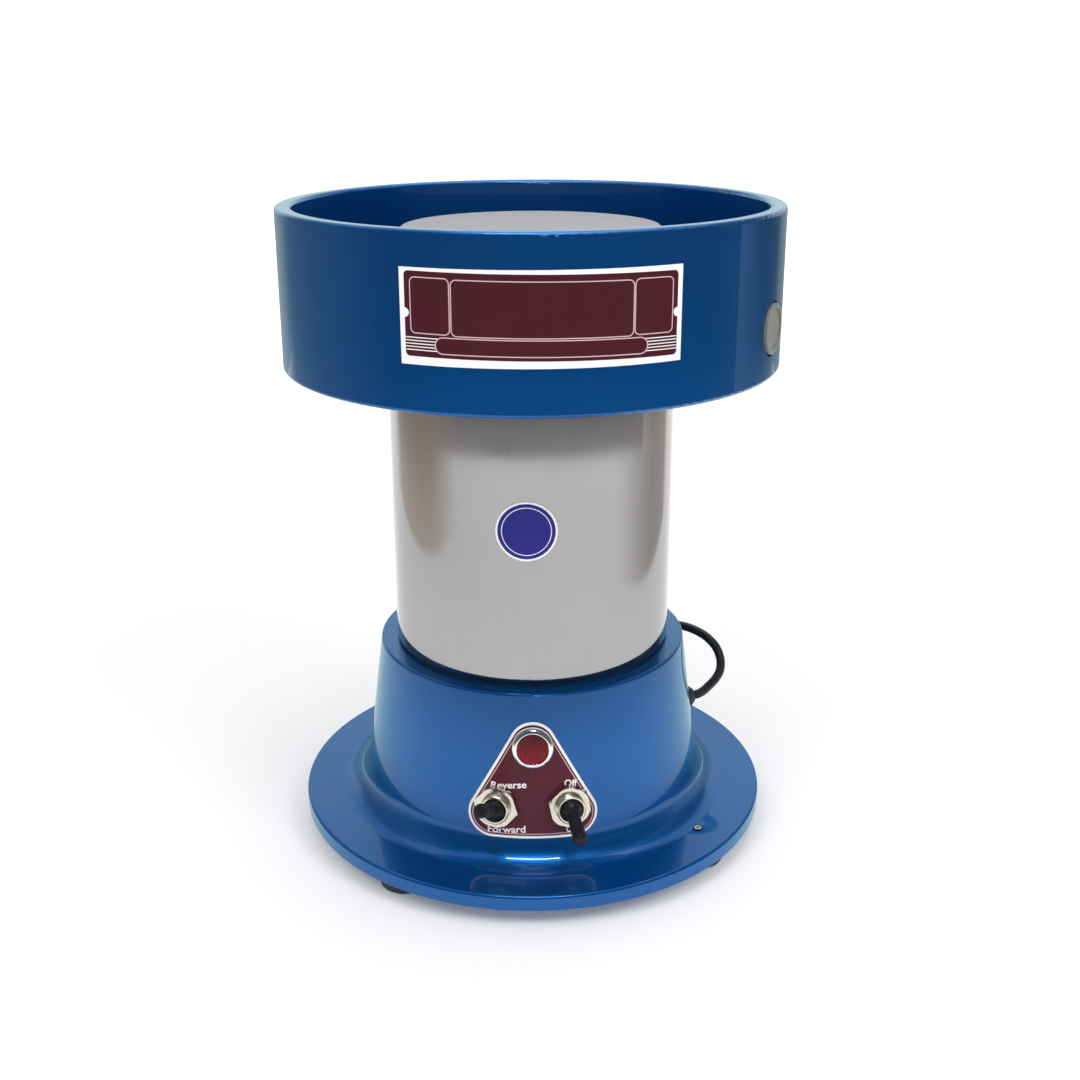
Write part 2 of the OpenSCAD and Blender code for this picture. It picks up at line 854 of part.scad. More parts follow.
module disc_screws() {
    color("#c2c5c8")
        ring_of(disc_screw_az, disc_screw_r, hub_flange_z)
            difference() {
                union() {
                    cylinder(r = m5_r, h = hub_flange_t + disc_screw_in);
                    cylinder(r1 = csk_r, r2 = m5_r, h = csk_r - m5_r);
                }
                translate([0, 0, -over]) hex(2 * hex_r, over + 1.8);
            }
}

module side_plug() {
    seat_r = side_hole_r - plug_seal_t;
    head_r = side_hole_r - plug_lip;
    color("#8c8f88")
        on_round(side_hole_az, side_hole_z, bowl_in) {
            depth = plug_face - bowl_in;
            rotate_extrude()
                difference() {
                    union() {
                        square([seat_r, depth]);
                        translate([0, depth - plug_head_t]) square([head_r, plug_head_t]);
                        square([head_r - plug_catch, plug_catch_t]);
                    }
                    edge_cut(head_r, depth, edge_r / 2, 1, 1);
                    translate([-over, depth - plug_dish])
                        square([over + head_r - plug_border, over]);
                }
        }
}

module plug_seal() {
    seat_r = side_hole_r - plug_seal_t;
    depth = plug_face - bowl_in;
    color("#1d1e20")
        on_round(side_hole_az, side_hole_z, bowl_in)
            translate([0, 0, plug_catch_t])
                ring(side_hole_r - plug_gap, seat_r, depth - plug_head_t - plug_catch_t);
}

// Thin plate bent round an upright cylinder, cut from it straight along its own -Y
module bent_plate(az, z, r, t) {
    intersection() {
        translate([0, 0, z - bowl_h]) ring(r + t, r, 2 * bowl_h);
        on_round(az, z, r + t + over) mirror([0, 0, 1])
            linear_extrude(height = r) children();
    }
}

module nameplate() {
    color("#5a1f2b")
        bent_plate(nameplate_az, nameplate_z, bowl_r, label_t)
            square([nameplate_w, nameplate_h], center = true);
}

module badge() {
    color("#2b2a7c")
        bent_plate(badge_az, badge_z, shell_r, badge_t) circle(r = badge_r);
}

// Triangle with round corners, its base at zero and its apex up
module panel_outline() {
    half = panel_w / 2 - panel_corner_r;
    low = panel_corner_r;
    high = panel_h - panel_corner_r;
    slope = atan2(high - low, half);
    out = panel_corner_r * [sin(slope), cos(slope)];
    union() {
        polygon([
            [-half, 0], [half, 0], [half, low] + out, [0, high] + out,
            [0, high] + [-out[0], out[1]], [-half, low] + [-out[0], out[1]]
        ]);
        for (c = [[-half, low], [half, low], [0, high]]) translate(c) circle(r = panel_corner_r);
    }
}

// Follows the base's own outline, so that its lower edge rises onto the fillet
module control_plate() {
    color("#5a1f2b")
        difference() {
            intersection() {
                rotate_extrude()
                    intersection() {
                        difference() {
                            translate([label_t / wall_normal[0], 0]) base_outline();
                            base_outline();
                        }
                        translate([0, panel_z - over]) square([flange_r, panel_h + 2 * over]);
                    }
                translate([0, 0, panel_z]) rotate([90, 0, 0])
                    linear_extrude(height = 2 * deck_r) panel_outline();
            }
            for (az = [-switch_az, switch_az]) on_wall(az, switch_z) translate([0, 0, -over])
                cylinder(r = bushing_r + hole_gap, h = 3 * over);
            on_wall(0, lamp_z) translate([0, 0, -over])
                cylinder(r = lamp_stem_r + hole_gap, h = 3 * over);
        }
}

module lamp_bezel() {
    color("#d5d6d4")
        on_wall(0, lamp_z)
            rotate_extrude()
                difference() {
                    union() {
                        translate([0, label_t]) square([bezel_r, bezel_out - label_t]);
                        translate([0, -lamp_in]) square([lamp_stem_r, lamp_in + label_t + over]);
                    }
                    edge_cut(bezel_r, bezel_out, bezel_edge, 1, 1);
                    translate([-over, -lamp_in - over])
                        square([lamp_bore_r + over, lamp_in + bezel_out + 2 * over]);
                    translate([-over, label_t + lens_in]) square([lens_r + over, bezel_out]);
                }
}

// Red lens with upright ribs across its face
module lamp_lens() {
    low = label_t + lens_in;
    face = bezel_out - 0.5;
    steps = floor(lens_r / lens_pitch);
    saw = [for (i = [-steps:steps], s = [0, 1])
        [(i + s / 2) * lens_pitch, face + (s == 0 ? lens_rib : 0)]];
    color("#a3161f")
        on_wall(0, lamp_z)
            intersection() {
                translate([0, 0, low]) cylinder(r = lens_r - fit_gap, h = bezel_out);
                rotate([90, 0, 0])
                    linear_extrude(height = 3 * lens_r, center = true)
                        polygon(concat([[-2 * lens_r, low], [-2 * lens_r, face]], saw,
                            [[2 * lens_r, face], [2 * lens_r, low]]));
            }
}

module lamp_holder() {
    color("#d9d2bd")
        on_wall(0, lamp_z) translate([0, 0, -holder_in])
            union() {
                cylinder(r = lamp_bore_r - fit_gap, h = holder_in + label_t + lens_in - 0.4);
                cylinder(r = lamp_stem_r, h = holder_in - lamp_in - 0.2);
                for (x = [-1, 1]) translate([x * 2.5 - lug[0] / 2, -lug[1] / 4, -lug[2]])
                    cube([lug[0], lug[1] / 2, lug[2] + over]);
            }
}

module lamp_nut() {
    color("#c9c2a4")
        on_wall(0, lamp_z) translate([0, 0, -base_wall - lamp_nut_t])
            nut(lamp_nut_af, lamp_nut_t, lamp_stem_r);
}

// The four pieces of a toggle switch, in the frame of the wall
module toggle_body() {
    color("#3a2a22")
        translate([0, 0, -switch_in])
            union() {
                translate([-switch_body[0] / 2, -switch_body[1] / 2, -switch_body[2]])
                    cube(switch_body);
                for (y = [-1, 0, 1])
                    translate([-lug[0] / 2, y * lug_pitch - lug[1] / 2, -switch_body[2] - lug[2]])
                        cube([lug[0], lug[1], lug[2] + over]);
            }
}

// The lever's pin turns in two blind holes of the bushing's socket
module toggle_bushing(twist) {
    color("#cfc8ac")
        difference() {
            rotate_extrude()
                difference() {
                    translate([0, -switch_in]) square([bushing_r, switch_in + bushing_out]);
                    edge_cut(bushing_r, bushing_out, bushing_edge, 1, 1);
                    translate([-over, pivot_out - lever_tail - lever_tail_gap])
                        square([socket_r + over, switch_in + bushing_out + lever_tail]);
                }
            translate([0, 0, pivot_out]) rotate([0, 90, twist])
                cylinder(r = pivot_pin_r + pivot_gap, h = 2 * (pivot_reach + pivot_gap),
                    center = true);
        }
}

module toggle_lever() {
    neck_z = sqrt(lever_ball_r * lever_ball_r - lever_neck_r * lever_neck_r);
    color("#141416")
        union() {
            sphere(r = lever_ball_r);
            rotate_extrude()
                difference() {
                    polygon([[0, 0], [lever_neck_r, neck_z], [lever_tip_r, lever_len],
                        [0, lever_len]]);
                    edge_cut(lever_tip_r, lever_len, lever_edge, 1, 1);
                }
            translate([0, 0, -lever_tail]) cylinder(r = lever_tail_r, h = lever_tail);
            rotate([0, 90, 0]) cylinder(r = pivot_pin_r, h = 2 * pivot_reach, center = true);
        }
}

module direction_switch_place() {
    on_wall(-switch_az, switch_z) children();
}

module power_switch_place() {
    on_wall(switch_az, switch_z) children();
}

module direction_switch_body() {
    direction_switch_place() rotate([0, 0, body_turn]) toggle_body();
}

module direction_switch_bushing() {
    direction_switch_place() toggle_bushing(direction_twist);
}

module direction_switch_nut() {
    color("#d8d3c4")
        direction_switch_place() translate([0, 0, label_t]) rotate([0, 0, direction_turn])
            nut(nut_af, nut_t, bushing_r);
}

// Rests up, towards the word for reverse
module direction_switch_lever() {
    direction_switch_place() translate([0, 0, pivot_out])
        rotate([0, 0, direction_twist]) rotate([-lever_tilt, 0, 0]) toggle_lever();
}

module power_switch_body() {
    power_switch_place() toggle_body();
}

module power_switch_bushing() {
    power_switch_place() toggle_bushing(0);
}

module power_switch_nut() {
    color("#d8d3c4")
        power_switch_place() translate([0, 0, label_t]) rotate([0, 0, power_turn])
            nut(nut_af, nut_t, bushing_r);
}

// Rests down
module power_switch_lever() {
    power_switch_place() translate([0, 0, pivot_out]) rotate([lever_tilt, 0, 0]) toggle_lever();
}

module switch_back_nuts() {
    color("#c9c2a4")
        for (az = [-switch_az, switch_az]) on_wall(az, switch_z)
            translate([0, 0, -base_wall - back_nut_t]) nut(nut_af, back_nut_t, bushing_r);
}

module capacitor() {
    color("#d7d9d6")
        translate([capacitor_at[0], capacitor_at[1], cover_z])
            union() {
                rotate_extrude()
                    difference() {
                        square([capacitor_r, capacitor_h]);
                        edge_cut(capacitor_r, capacitor_h, capacitor_edge, 1, 1);
                    }
                for (x = [-1, 1])
                    translate([x * lug_pitch / 2 - lug[0] / 2, -lug[1] / 2, capacitor_h - over])
                        cube([lug[0], lug[1], lug[2] + over]);
            }
}

module capacitor_clip() {
    color("#b9bcbf")
        translate([capacitor_at[0], capacitor_at[1], cover_z])
            union() {
                ring(capacitor_r + clip_t, capacitor_r, clip_h);
                difference() {
                    translate([-clip_tab / 2, capacitor_r, 0]) cube([clip_tab, clip_tab, clip_t]);
                    translate([0, capacitor_r + clip_tab / 2, -over])
                        cylinder(r = m3_r + bolt_gap, h = clip_t + 2 * over);
                }
            }
}

module terminal_block() {
    ways = [for (i = [0:block_ways - 1]) (i - (block_ways - 1) / 2) * block_pitch];
    color("#e6e3d6")
        translate([block_at[0], block_at[1], cover_z])
            difference() {
                translate([-block[0] / 2, -block[1] / 2, 0]) cube(block);
                for (y = ways) translate([0, y, 0]) {
                    translate([0, 0, block[2] / 2]) cylinder(r = block_screw_r, h = block[2]);
                    for (side = [-1, 1])
                        translate([side * (block[0] / 2 - block_hole_in), 0, block_hole_up])
                            rotate([0, 90 * side, 0])
                                cylinder(r = lead_hole, h = block_hole_in + over);
                }
                translate([0, 0, -over]) cylinder(r = m3_r + bolt_gap, h = block[2] + 2 * over);
            }
}

// Screws of the capacitor's clip and of the terminal block, cut in the bottom cover
module inner_screws() {
    color("#c2c5c8") {
        translate([clip_screw_at[0], clip_screw_at[1], cover_z + clip_t])
            pan_screw(m3_r, clip_t + cover_z - base_z, m3_head_r, m3_head_h);
        translate([block_at[0], block_at[1], cover_z + block[2]])
            pan_screw(m3_r, block[2] + cover_z - base_z, m3_head_r, m3_head_h);
    }
}

// Smooth curve through a list of points, as rings for a tube
function unit(v) = v / norm(v);
function through(p, i, t) =
    let (a = p[max(i - 1, 0)], b = p[i], c = p[i + 1], d = p[min(i + 2, len(p) - 1)])
    0.5 * (2 * b + (c - a) * t + (2 * a - 5 * b + 4 * c - d) * t * t
        + (3 * b - a - 3 * c + d) * t * t * t);
function smooth(p, steps) = concat(
    [for (i = [0:len(p) - 2], s = [0:steps - 1]) through(p, i, s / steps)], [p[len(p) - 1]]);
function heading(p, i) = unit(p[min(i + 1, len(p) - 1)] - p[max(i - 1, 0)]);
function square_to(v, t) = unit(v - (v * t) * t);
function sides_of(p, first) = [for (i = 0, u = square_to(first, heading(p, 0)); i < len(p);
    i = i + 1, u = i < len(p) ? square_to(u, heading(p, i)) : u) u];

module tube(path, r, sides, first) {
    across = sides_of(path, first);
    n = len(path);
    points = [for (i = [0:n - 1], k = [0:sides - 1])
        let (a = 360 * k / sides, t = heading(path, i), u = across[i])
        path[i] + r * (cos(a) * u + sin(a) * cross(t, u))];
    skin = [for (i = [0:n - 2], k = [0:sides - 1], h = [0, 1])
        let (k2 = (k + 1) % sides, a = i * sides, b = a + sides)
        h == 0 ? [a + k, b + k, b + k2] : [a + k, b + k2, a + k2]];
    last = (n - 1) * sides;
    ends = concat(
        [for (k = [1:sides - 2]) [0, k, k + 1]],
        [for (k = [1:sides - 2]) [last, last + k + 1, last + k]]);
    polyhedron(points = points, faces = concat(skin, ends), convexity = 10);
}

lead_steps = 4;
lead_sides = 6;
wire_routes = [
    [[13.5, -36.8, 105.2], [12.2, -33.2, 97], [11.3, -31, 90], [11.3, -31, 81],
        [12.5, -26, 66], [14.5, -19.5, 48], [19, -11, 28], [21.8, -6, 16.5],
        [25, -5.5, 14.1], [28.5, -5.5, 14.1]],
    [[-13.5, 36.8, 105.2], [-12.2, 33.2, 97], [-11.3, 31, 90], [-11.3, 31, 81],
        [-16, 29.5, 74], [-24, 25, 70.5], [-29.5, 22.2, 68], [-29.75, 22, 62.7]],
    [[-38.25, 22, 62.7], [-38.2, 21.6, 66.5], [-35, 15, 70], [-23, 7, 67.5],
        [-7, 6.5, 57], [8, 9.5, 38], [18, 12.2, 20], [24, 12.5, 14.2], [28.5, 12.5, 14.1]],
    [[-7.46, -36.57, 31.24], [-6.7, -33.4, 30.8], [-2, -24, 30], [8, -12, 27],
        [16.5, -1, 20], [21.5, 3.3, 15], [25, 3.5, 14.1], [28.5, 3.5, 14.1]],
    [[7.46, -36.57, 31.24], [8, -33.4, 30.8], [16, -27, 30], [30, -24, 29],
        [42, -16, 24], [48, -8.5, 17.5], [46.5, -5.7, 14.4], [43.5, -5.5, 14.1],
        [39.5, -5.5, 14.1]],
    [[57.13, 8.03, 42.32], [52.7, 7.4, 41.74], [49.5, 7.6, 39], [48, 9, 31],
        [48.5, 11, 21], [47, 12.4, 15], [43.5, 12.5, 14.1], [39.5, 12.5, 14.1]]
];

module internal_leads() {
    color("#a02c24")
        for (route = wire_routes)
            tube(smooth(route, lead_steps), wire_r, lead_sides, [0, 1, 0.2]);
}

// Rubber bush gripping the cord: a flange outside, a neck in the wall, a tail inside
module cord_grommet() {
    color("#17181a")
        on_wall(exit_az, exit_z)
            rotate_extrude()
                difference() {
                    polygon([[0, -base_wall - grommet_in],
                        [cord_r + grommet_skin, -base_wall - grommet_in],
                        [grommet_catch_r, -base_wall - grommet_lift],
                        [grommet_neck_r, -base_wall - grommet_lift],
                        [grommet_neck_r, grommet_lift], [grommet_flange_r, grommet_lift],
                        [grommet_flange_r, grommet_flange_t],
                        [cord_r + grommet_skin, grommet_out], [0, grommet_out]]);
                    translate([-over, -over - base_wall - grommet_in])
                        square([over + lead_hole, grommet_in + over]);
                }
}

cord_sides = 8;
cord_steps = 1;

module cord_lead() {
    color("#151517")
        tube(smooth(cord_route, cord_steps), cord_r, cord_sides, [0, 0, 1]);
}

// The coil spirals in and out at a steady rate and climbs a layer in the half
// turn where it reverses; turn counts from its start
function coil_place(turn) =
    let (
        layer = min(floor(turn / layer_turns), coil_layers - 1),
        part = turn - layer * layer_turns,
        r = layer % 2 == 0 ? coil_out - part * turn_pitch : coil_in + part * turn_pitch,
        nearest = round(turn / layer_turns),
        past = turn - nearest * layer_turns,
        climb = min(max(past * 2, -0.5), 0.5),
        level = nearest == 0 ? 0
            : nearest == coil_layers ? coil_layers - 1 : nearest - 0.5 + climb
    )
    [coil_x + r * cos(360 * turn), coil_y + r * sin(360 * turn), coil_low + level * turn_pitch];

loop_rings = 24;
coil_sides = 6;
coil_top = coil_low + (coil_layers - 1) * turn_pitch;
plug_x = coil_x + coil_out + 2 * tail_r;
plug_y = coil_y + tail_run;
plug_mid = plug_t / 2;
tail_rings = 10;
function ease(t) = t * t * (3 - 2 * t);
// The tail leaves the top turn, bends back round half a circle and sinks to the plug
function tail_place(t) =
    let (a = 180 * t)
    [plug_x - tail_r - tail_r * cos(a), plug_y + tail_r * sin(a),
        coil_top + (plug_mid - coil_top) * ease(t)];
coil_path = concat(
    [[coil_x + coil_out, coil_y - cord_d, coil_low]],
    [for (i = [0:loop_rings * coil_turns]) coil_place(i / loop_rings)],
    [[coil_x + coil_out, coil_y + tail_run / 2, coil_top]],
    [for (i = [0:tail_rings]) tail_place(i / tail_rings)],
    [[plug_x, plug_y - cord_d, plug_mid]]);

module cord_coil() {
    color("#151517") tube(coil_path, cord_r, coil_sides, [0, 0, 1]);
}

// Length of the cord and the coil's least gap to itself, on its centre points
function length_of(p) = norm_sum(p, 0, 0);
function norm_sum(p, i, total) =
    i >= len(p) - 1 ? total : norm_sum(p, i + 1, total + norm(p[i + 1] - p[i]));
coil_gap = min([for (i = [0:len(coil_path) - 1], j = [i + loop_rings / 2:1:len(coil_path) - 1])
    norm(coil_path[i] - coil_path[j])]) - cord_d;
echo(cord_length = length_of(cord_route) + length_of(coil_path), coil_gap = coil_gap);

module coil_tie() {
    bundle_in = coil_in - cord_r - 0.4;
    bundle_w = coil_out - coil_in + cord_d + 0.8;
    bundle_h = coil_top + cord_r + 0.4 - coil_floor + 0.1;
    color("#1c1c1f")
        translate([coil_x, coil_y, coil_floor - 0.1])
            translate([-bundle_in - bundle_w, tie_w / 2, 0])
                rotate([90, 0, 0])
                    linear_extrude(height = tie_w)
                        difference() {
                            translate([-tie_t, -tie_t])
                                square([bundle_w + 2 * tie_t, bundle_h + 2 * tie_t]);
                            square([bundle_w, bundle_h]);
                        }
}

// Flat two-pin plug body with its boot, lying on its side face
module plug_body() {
    round_r = plug_t / 2;
    mouth = plug_y - cord_d;
    waist = 0.72;
    color("#161618")
        translate([plug_x, mouth, plug_mid])
            rotate([90, 0, 0])
                union() {
                    cylinder(r1 = cord_r + 0.6, r2 = boot_r, h = boot_len + over);
                    translate([0, 0, boot_len])
                        intersection() {
                            linear_extrude(height = plug_len)
                                union() {
                                    square([plug_w - plug_t, plug_t], center = true);
                                    for (x = [-1, 1]) translate([x * (plug_w - plug_t) / 2, 0])
                                        circle(r = round_r);
                                }
                            rotate([90, 0, 0])
                                linear_extrude(height = 2 * plug_t, center = true)
                                    polygon([[-plug_w / 2, plug_len], [plug_w / 2, plug_len],
                                        [plug_w / 2, plug_len * 0.6], [plug_w * waist / 2, 0],
                                        [-plug_w * waist / 2, 0], [-plug_w / 2, plug_len * 0.6]]);
                        }
                }
}

module plug_pins() {
    front = plug_y - cord_d - boot_len - plug_len;
    color("#cfcdbf")
        for (x = [-1, 1])
            translate([plug_x + x * pin_pitch / 2, front, plug_mid])
                rotate([90, 0, 0])
                    union() {
                        cylinder(r = pin_r, h = pin_len - pin_r);
                        translate([0, 0, pin_len - pin_r]) sphere(r = pin_r);
                    }
}

base_casting();
bottom_cover();
cover_screws();
rubber_feet();
foot_screws();
motor_gasket();
motor_screws();
motor_shell();
lower_bracket();
upper_bracket();
tie_bolts();
stator_core();
stator_windings();
bearing_outer_rings();
wave_washer();
motor_shaft();
rotor_core();
rotor_cage();
bearing_inner_rings();
bearing_balls();
bowl();
bowl_screws();
shaft_seal();
lap_hub();
hub_grub_screw();
lap_disc();
disc_screws();
side_plug();
plug_seal();
nameplate();
badge();
control_plate();
lamp_bezel();
lamp_lens();
lamp_holder();
lamp_nut();
direction_switch_body();
direction_switch_bushing();
direction_switch_nut();
direction_switch_lever();
power_switch_body();
power_switch_bushing();
power_switch_nut();
power_switch_lever();
switch_back_nuts();
capacitor();
capacitor_clip();
terminal_block();
inner_screws();
internal_leads();
cord_grommet();
cord_lead();
cord_coil();
coil_tie();
plug_body();
plug_pins();
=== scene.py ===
import bpy
import math
from mathutils import Matrix, Vector


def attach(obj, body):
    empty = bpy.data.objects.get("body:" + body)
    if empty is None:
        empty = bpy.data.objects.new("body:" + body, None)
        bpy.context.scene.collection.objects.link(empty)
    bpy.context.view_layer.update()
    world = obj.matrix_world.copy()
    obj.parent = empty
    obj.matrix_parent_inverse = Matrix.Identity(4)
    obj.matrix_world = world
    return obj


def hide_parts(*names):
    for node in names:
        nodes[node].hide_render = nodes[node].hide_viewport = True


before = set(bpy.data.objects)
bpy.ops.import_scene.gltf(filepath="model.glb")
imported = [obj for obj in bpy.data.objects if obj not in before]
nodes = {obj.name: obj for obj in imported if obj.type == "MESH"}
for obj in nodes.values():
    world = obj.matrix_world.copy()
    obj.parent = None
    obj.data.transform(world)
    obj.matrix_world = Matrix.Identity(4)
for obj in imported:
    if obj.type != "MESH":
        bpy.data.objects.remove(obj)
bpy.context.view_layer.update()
scene = bpy.context.scene
mm = 0.001
print("frame loaded:", len(nodes), "nodes")


# The camera stands where the photographer stood

photoSide = 1080
photoCentre = (531.8, 519.1)
viewpoint = {
    "place": (0.0, -0.5476, 0.3204),
    "pitchDown": 18.91,
    "roll": -0.21,
    "lens": 45.18,
    "sensor": 36.0,
    "near": 0.02,
    "far": 30,
}


def placeCamera(look):
    data = bpy.data.cameras.new("photoCamera")
    data.sensor_width = look["sensor"]
    data.lens = look["lens"]
    data.shift_x = 0.5 - photoCentre[0] / photoSide
    data.shift_y = photoCentre[1] / photoSide - 0.5
    data.clip_start = look["near"]
    data.clip_end = look["far"]
    camera = bpy.data.objects.new("photoCamera", data)
    scene.collection.objects.link(camera)
    turn = Matrix.Rotation(math.radians(90 - look["pitchDown"]), 4, "X")
    lean = Matrix.Rotation(math.radians(look["roll"]), 4, "Z")
    camera.matrix_world = Matrix.Translation(look["place"]) @ turn @ lean
    scene.camera = camera


placeCamera(viewpoint)
print("camera placed")


# Shader helpers: a wire is a socket, and sums on wires add Math nodes

class Wire:
    def __init__(self, tree, socket=None):
        self.tree = tree
        self.socket = socket

    def node(self, kind, settings=None, inputs=None, output=0):
        made = self.tree.nodes.new(kind)
        for name, value in (settings or {}).items():
            if name == "stops":
                setStops(made.color_ramp, value)
            else:
                setattr(made, name, value)
        for name, value in (inputs or {}).items():
            if isinstance(value, Wire):
                self.tree.links.new(value.socket, made.inputs[name])
            else:
                made.inputs[name].default_value = value
        return Wire(self.tree, made.outputs[output]) if made.outputs else None

    def math(self, operation, *values):
        return self.node("ShaderNodeMath", {"operation": operation}, dict(enumerate(values)))

    def __add__(self, other):
        return self.math("ADD", self, other)

    __radd__ = __add__

    def __sub__(self, other):
        return self.math("SUBTRACT", self, other)

    def __rsub__(self, other):
        return self.math("SUBTRACT", other, self)

    def __mul__(self, other):
        return self.math("MULTIPLY", self, other)

    __rmul__ = __mul__

    def __truediv__(self, other):
        return self.math("DIVIDE", self, other)

    def __rtruediv__(self, other):
        return self.math("DIVIDE", other, self)

    def __abs__(self):
        return self.math("ABSOLUTE", self)


def setStops(ramp, stops):
    while len(ramp.elements) < len(stops):
        ramp.elements.new(1.0)
    for element, (place, colour) in zip(ramp.elements, stops):
        element.position = place
        element.color = (*colour, 1.0)


def larger(a, b):
    return a.math("MAXIMUM", a, b)


def smaller(a, b):
    return a.math("MINIMUM", a, b)


def within(a, low=0.0, high=1.0):
    return smaller(larger(a, low), high)


def root(a):
    return a.math("SQRT", a)


def mixed(mask, low, high):
    ends = [(*c, 1.0) if isinstance(c, tuple) else c for c in (low, high)]
    return mask.node("ShaderNodeMix", {"data_type": "RGBA"}, {0: mask, 6: ends[0], 7: ends[1]}, 2)


def toned(look, *patterns):
    # the look's two colours, mixed by its shares of the patterns
    mask = sum(share * pattern for share, pattern in zip(look["shares"], patterns))
    return mixed(within(mask), look["dark"], look["light"])


def worn(look, *patterns):
    # the look's roughness, swung up and down by the patterns
    return look["roughness"] + sum(
        swing * (pattern - 0.5) for swing, pattern in zip(look["swings"], patterns))


def stretched(at, factors):
    return at.node("ShaderNodeVectorMath", {"operation": "MULTIPLY"}, {0: at, 1: factors})


def noise(at, size, detail=2.0):
    return at.node("ShaderNodeTexNoise", None, {"Vector": at, "Scale": 1 / size, "Detail": detail})


def bumped(height, depth, strength=1.0, under=None):
    inputs = {"Height": height, "Distance": depth, "Strength": strength}
    if under:
        inputs["Normal"] = under
    return height.node("ShaderNodeBump", None, inputs)


def newMaterial(name):
    material = bpy.data.materials.new(name)
    material.use_nodes = True
    material.node_tree.nodes.clear()
    graph = Wire(material.node_tree)
    return material, graph, graph.node("ShaderNodeTexCoord", output="Object")


def axes(at):
    parts = at.node("ShaderNodeSeparateXYZ", None, {0: at})
    owner = parts.socket.node
    return [Wire(at.tree, owner.outputs[i]) for i in range(3)]


def shade(graph, sockets):
    shader = graph.node("ShaderNodeBsdfPrincipled", None, sockets)
    graph.node("ShaderNodeOutputMaterial", None, {"Surface": shader})


def finishNodes(material, *names):
    for name in names:
        data = nodes[name].data
        data.materials.clear()
        data.materials.append(material)


# Paint: metallic blue under a clear coat, with orange peel

paintLook = {
    "dark": (0.0006, 0.073, 0.275),
    "light": (0.0015, 0.108, 0.395),
    "shares": (0.65, 0.35),
    "metallic": 0.72,
    "roughness": 0.34,
    "swings": (0.08,),
    "groundGloss": 0.5,
    "groundTint": (0.35, 0.9, 0.78, 1.0),
    "coat": 0.55,
    "coatRoughness": 0.02,
    "flakeSize": 0.4 * mm,
    "cloudSize": 60 * mm,
}


bowlPeel = {
    "size": 4.5 * mm,
    "depth": 0.012 * mm,
    "rimInner": 95.1,
    "rimOuter": 98.6,
    "roundsAbove": 264.2,
    "roundsBelow": 204.3,
    "wallFrom": 97.0,
    "sharpness": 100,
}
basePeel = {
    "size": 6 * mm,
    "depth": 0.03 * mm,
    "crownFrom": 52 * mm,
    "crownBend": 2.6,
}


def roundedNormal(at, peel):
    # the exact direction of the rim's and the lower edge's roundings, where the facets are coarse
    x, y, z = axes(at)
    reach = root(x * x + y * y)
    r = reach / mm
    out = r - within(r, peel["rimInner"], peel["rimOuter"])
    above = larger(z / mm - peel["roundsAbove"], 0.0)
    onWallSide = within((r - peel["wallFrom"]) * peel["sharpness"])
    below = larger(peel["roundsBelow"] - z / mm, 0.0) * onWallSide
    exact = at.node("ShaderNodeCombineXYZ", None,
        {0: x / reach * out, 1: y / reach * out, 2: above - below})
    exact = at.node("ShaderNodeVectorMath", {"operation": "NORMALIZE"}, {0: exact})
    plain = at.node("ShaderNodeNewGeometry", None, None, "Normal")
    curved = within((above + below) * peel["sharpness"])
    return at.node("ShaderNodeMix", {"data_type": "VECTOR"}, {0: curved, 4: plain, 5: exact}, 1)


def bluePaint(name, look, peel):
    material, graph, at = newMaterial(name)
    flakes = noise(at, look["flakeSize"], 1.0)
    clouds = noise(at, look["cloudSize"], 2.0)
    relief = noise(at, peel["size"], 1.5) * peel["depth"]
    under = None
    if "crownFrom" in peel:
        # the wall rolls slightly inwards towards its top
        rise = larger(axes(at)[2] - peel["crownFrom"], 0.0)
        relief = relief - rise * rise * (peel["crownBend"] / 2)
    if "rimInner" in peel:
        under = roundedNormal(at, peel)
    shade(graph, {
        "Base Color": toned(look, clouds, flakes),
        "Metallic": look["metallic"],
        "Roughness": worn(look, flakes),
        "Specular IOR Level": look["groundGloss"],
        "Specular Tint": look["groundTint"],
        "Coat Weight": look["coat"],
        "Coat Roughness": look["coatRoughness"],
        "Normal": bumped(relief, 1.0, 1.0, under),
    })
    return material


finishNodes(bluePaint("bowlPaint", paintLook, bowlPeel), "bowl")
finishNodes(bluePaint("basePaint", paintLook, basePeel), "base_casting")
print("paint done")


# Bare metals

def satinShell(look):
    material, graph, at = newMaterial("satinShell")
    draws = noise(stretched(at, look["streakRun"]), look["streakSize"], 3.0)
    clouds = noise(at, look["cloudSize"], 3.0)
    smears = noise(stretched(at, look["smearRun"]), look["smearSize"], 4.0)
    shade(graph, {
        "Base Color": toned(look, draws, clouds),
        "Metallic": 1.0,
        "Roughness": worn(look, draws, smears),
        "Normal": bumped(draws, look["streakDepth"]),
    })
    return material


shellLook = {
    "dark": (0.325, 0.318, 0.318),
    "light": (0.39, 0.384, 0.385),
    "shares": (0.3, 0.7),
    "roughness": 0.08,
    "swings": (0.03, 0.08),
    "streakSize": 0.9 * mm,
    "streakRun": (1.0, 1.0, 0.02),
    "streakDepth": 0.004 * mm,
    "smearSize": 26 * mm,
    "smearRun": (1.0, 1.0, 0.35),
    "cloudSize": 40 * mm,
}
finishNodes(satinShell(shellLook), "motor_shell", "upper_bracket")


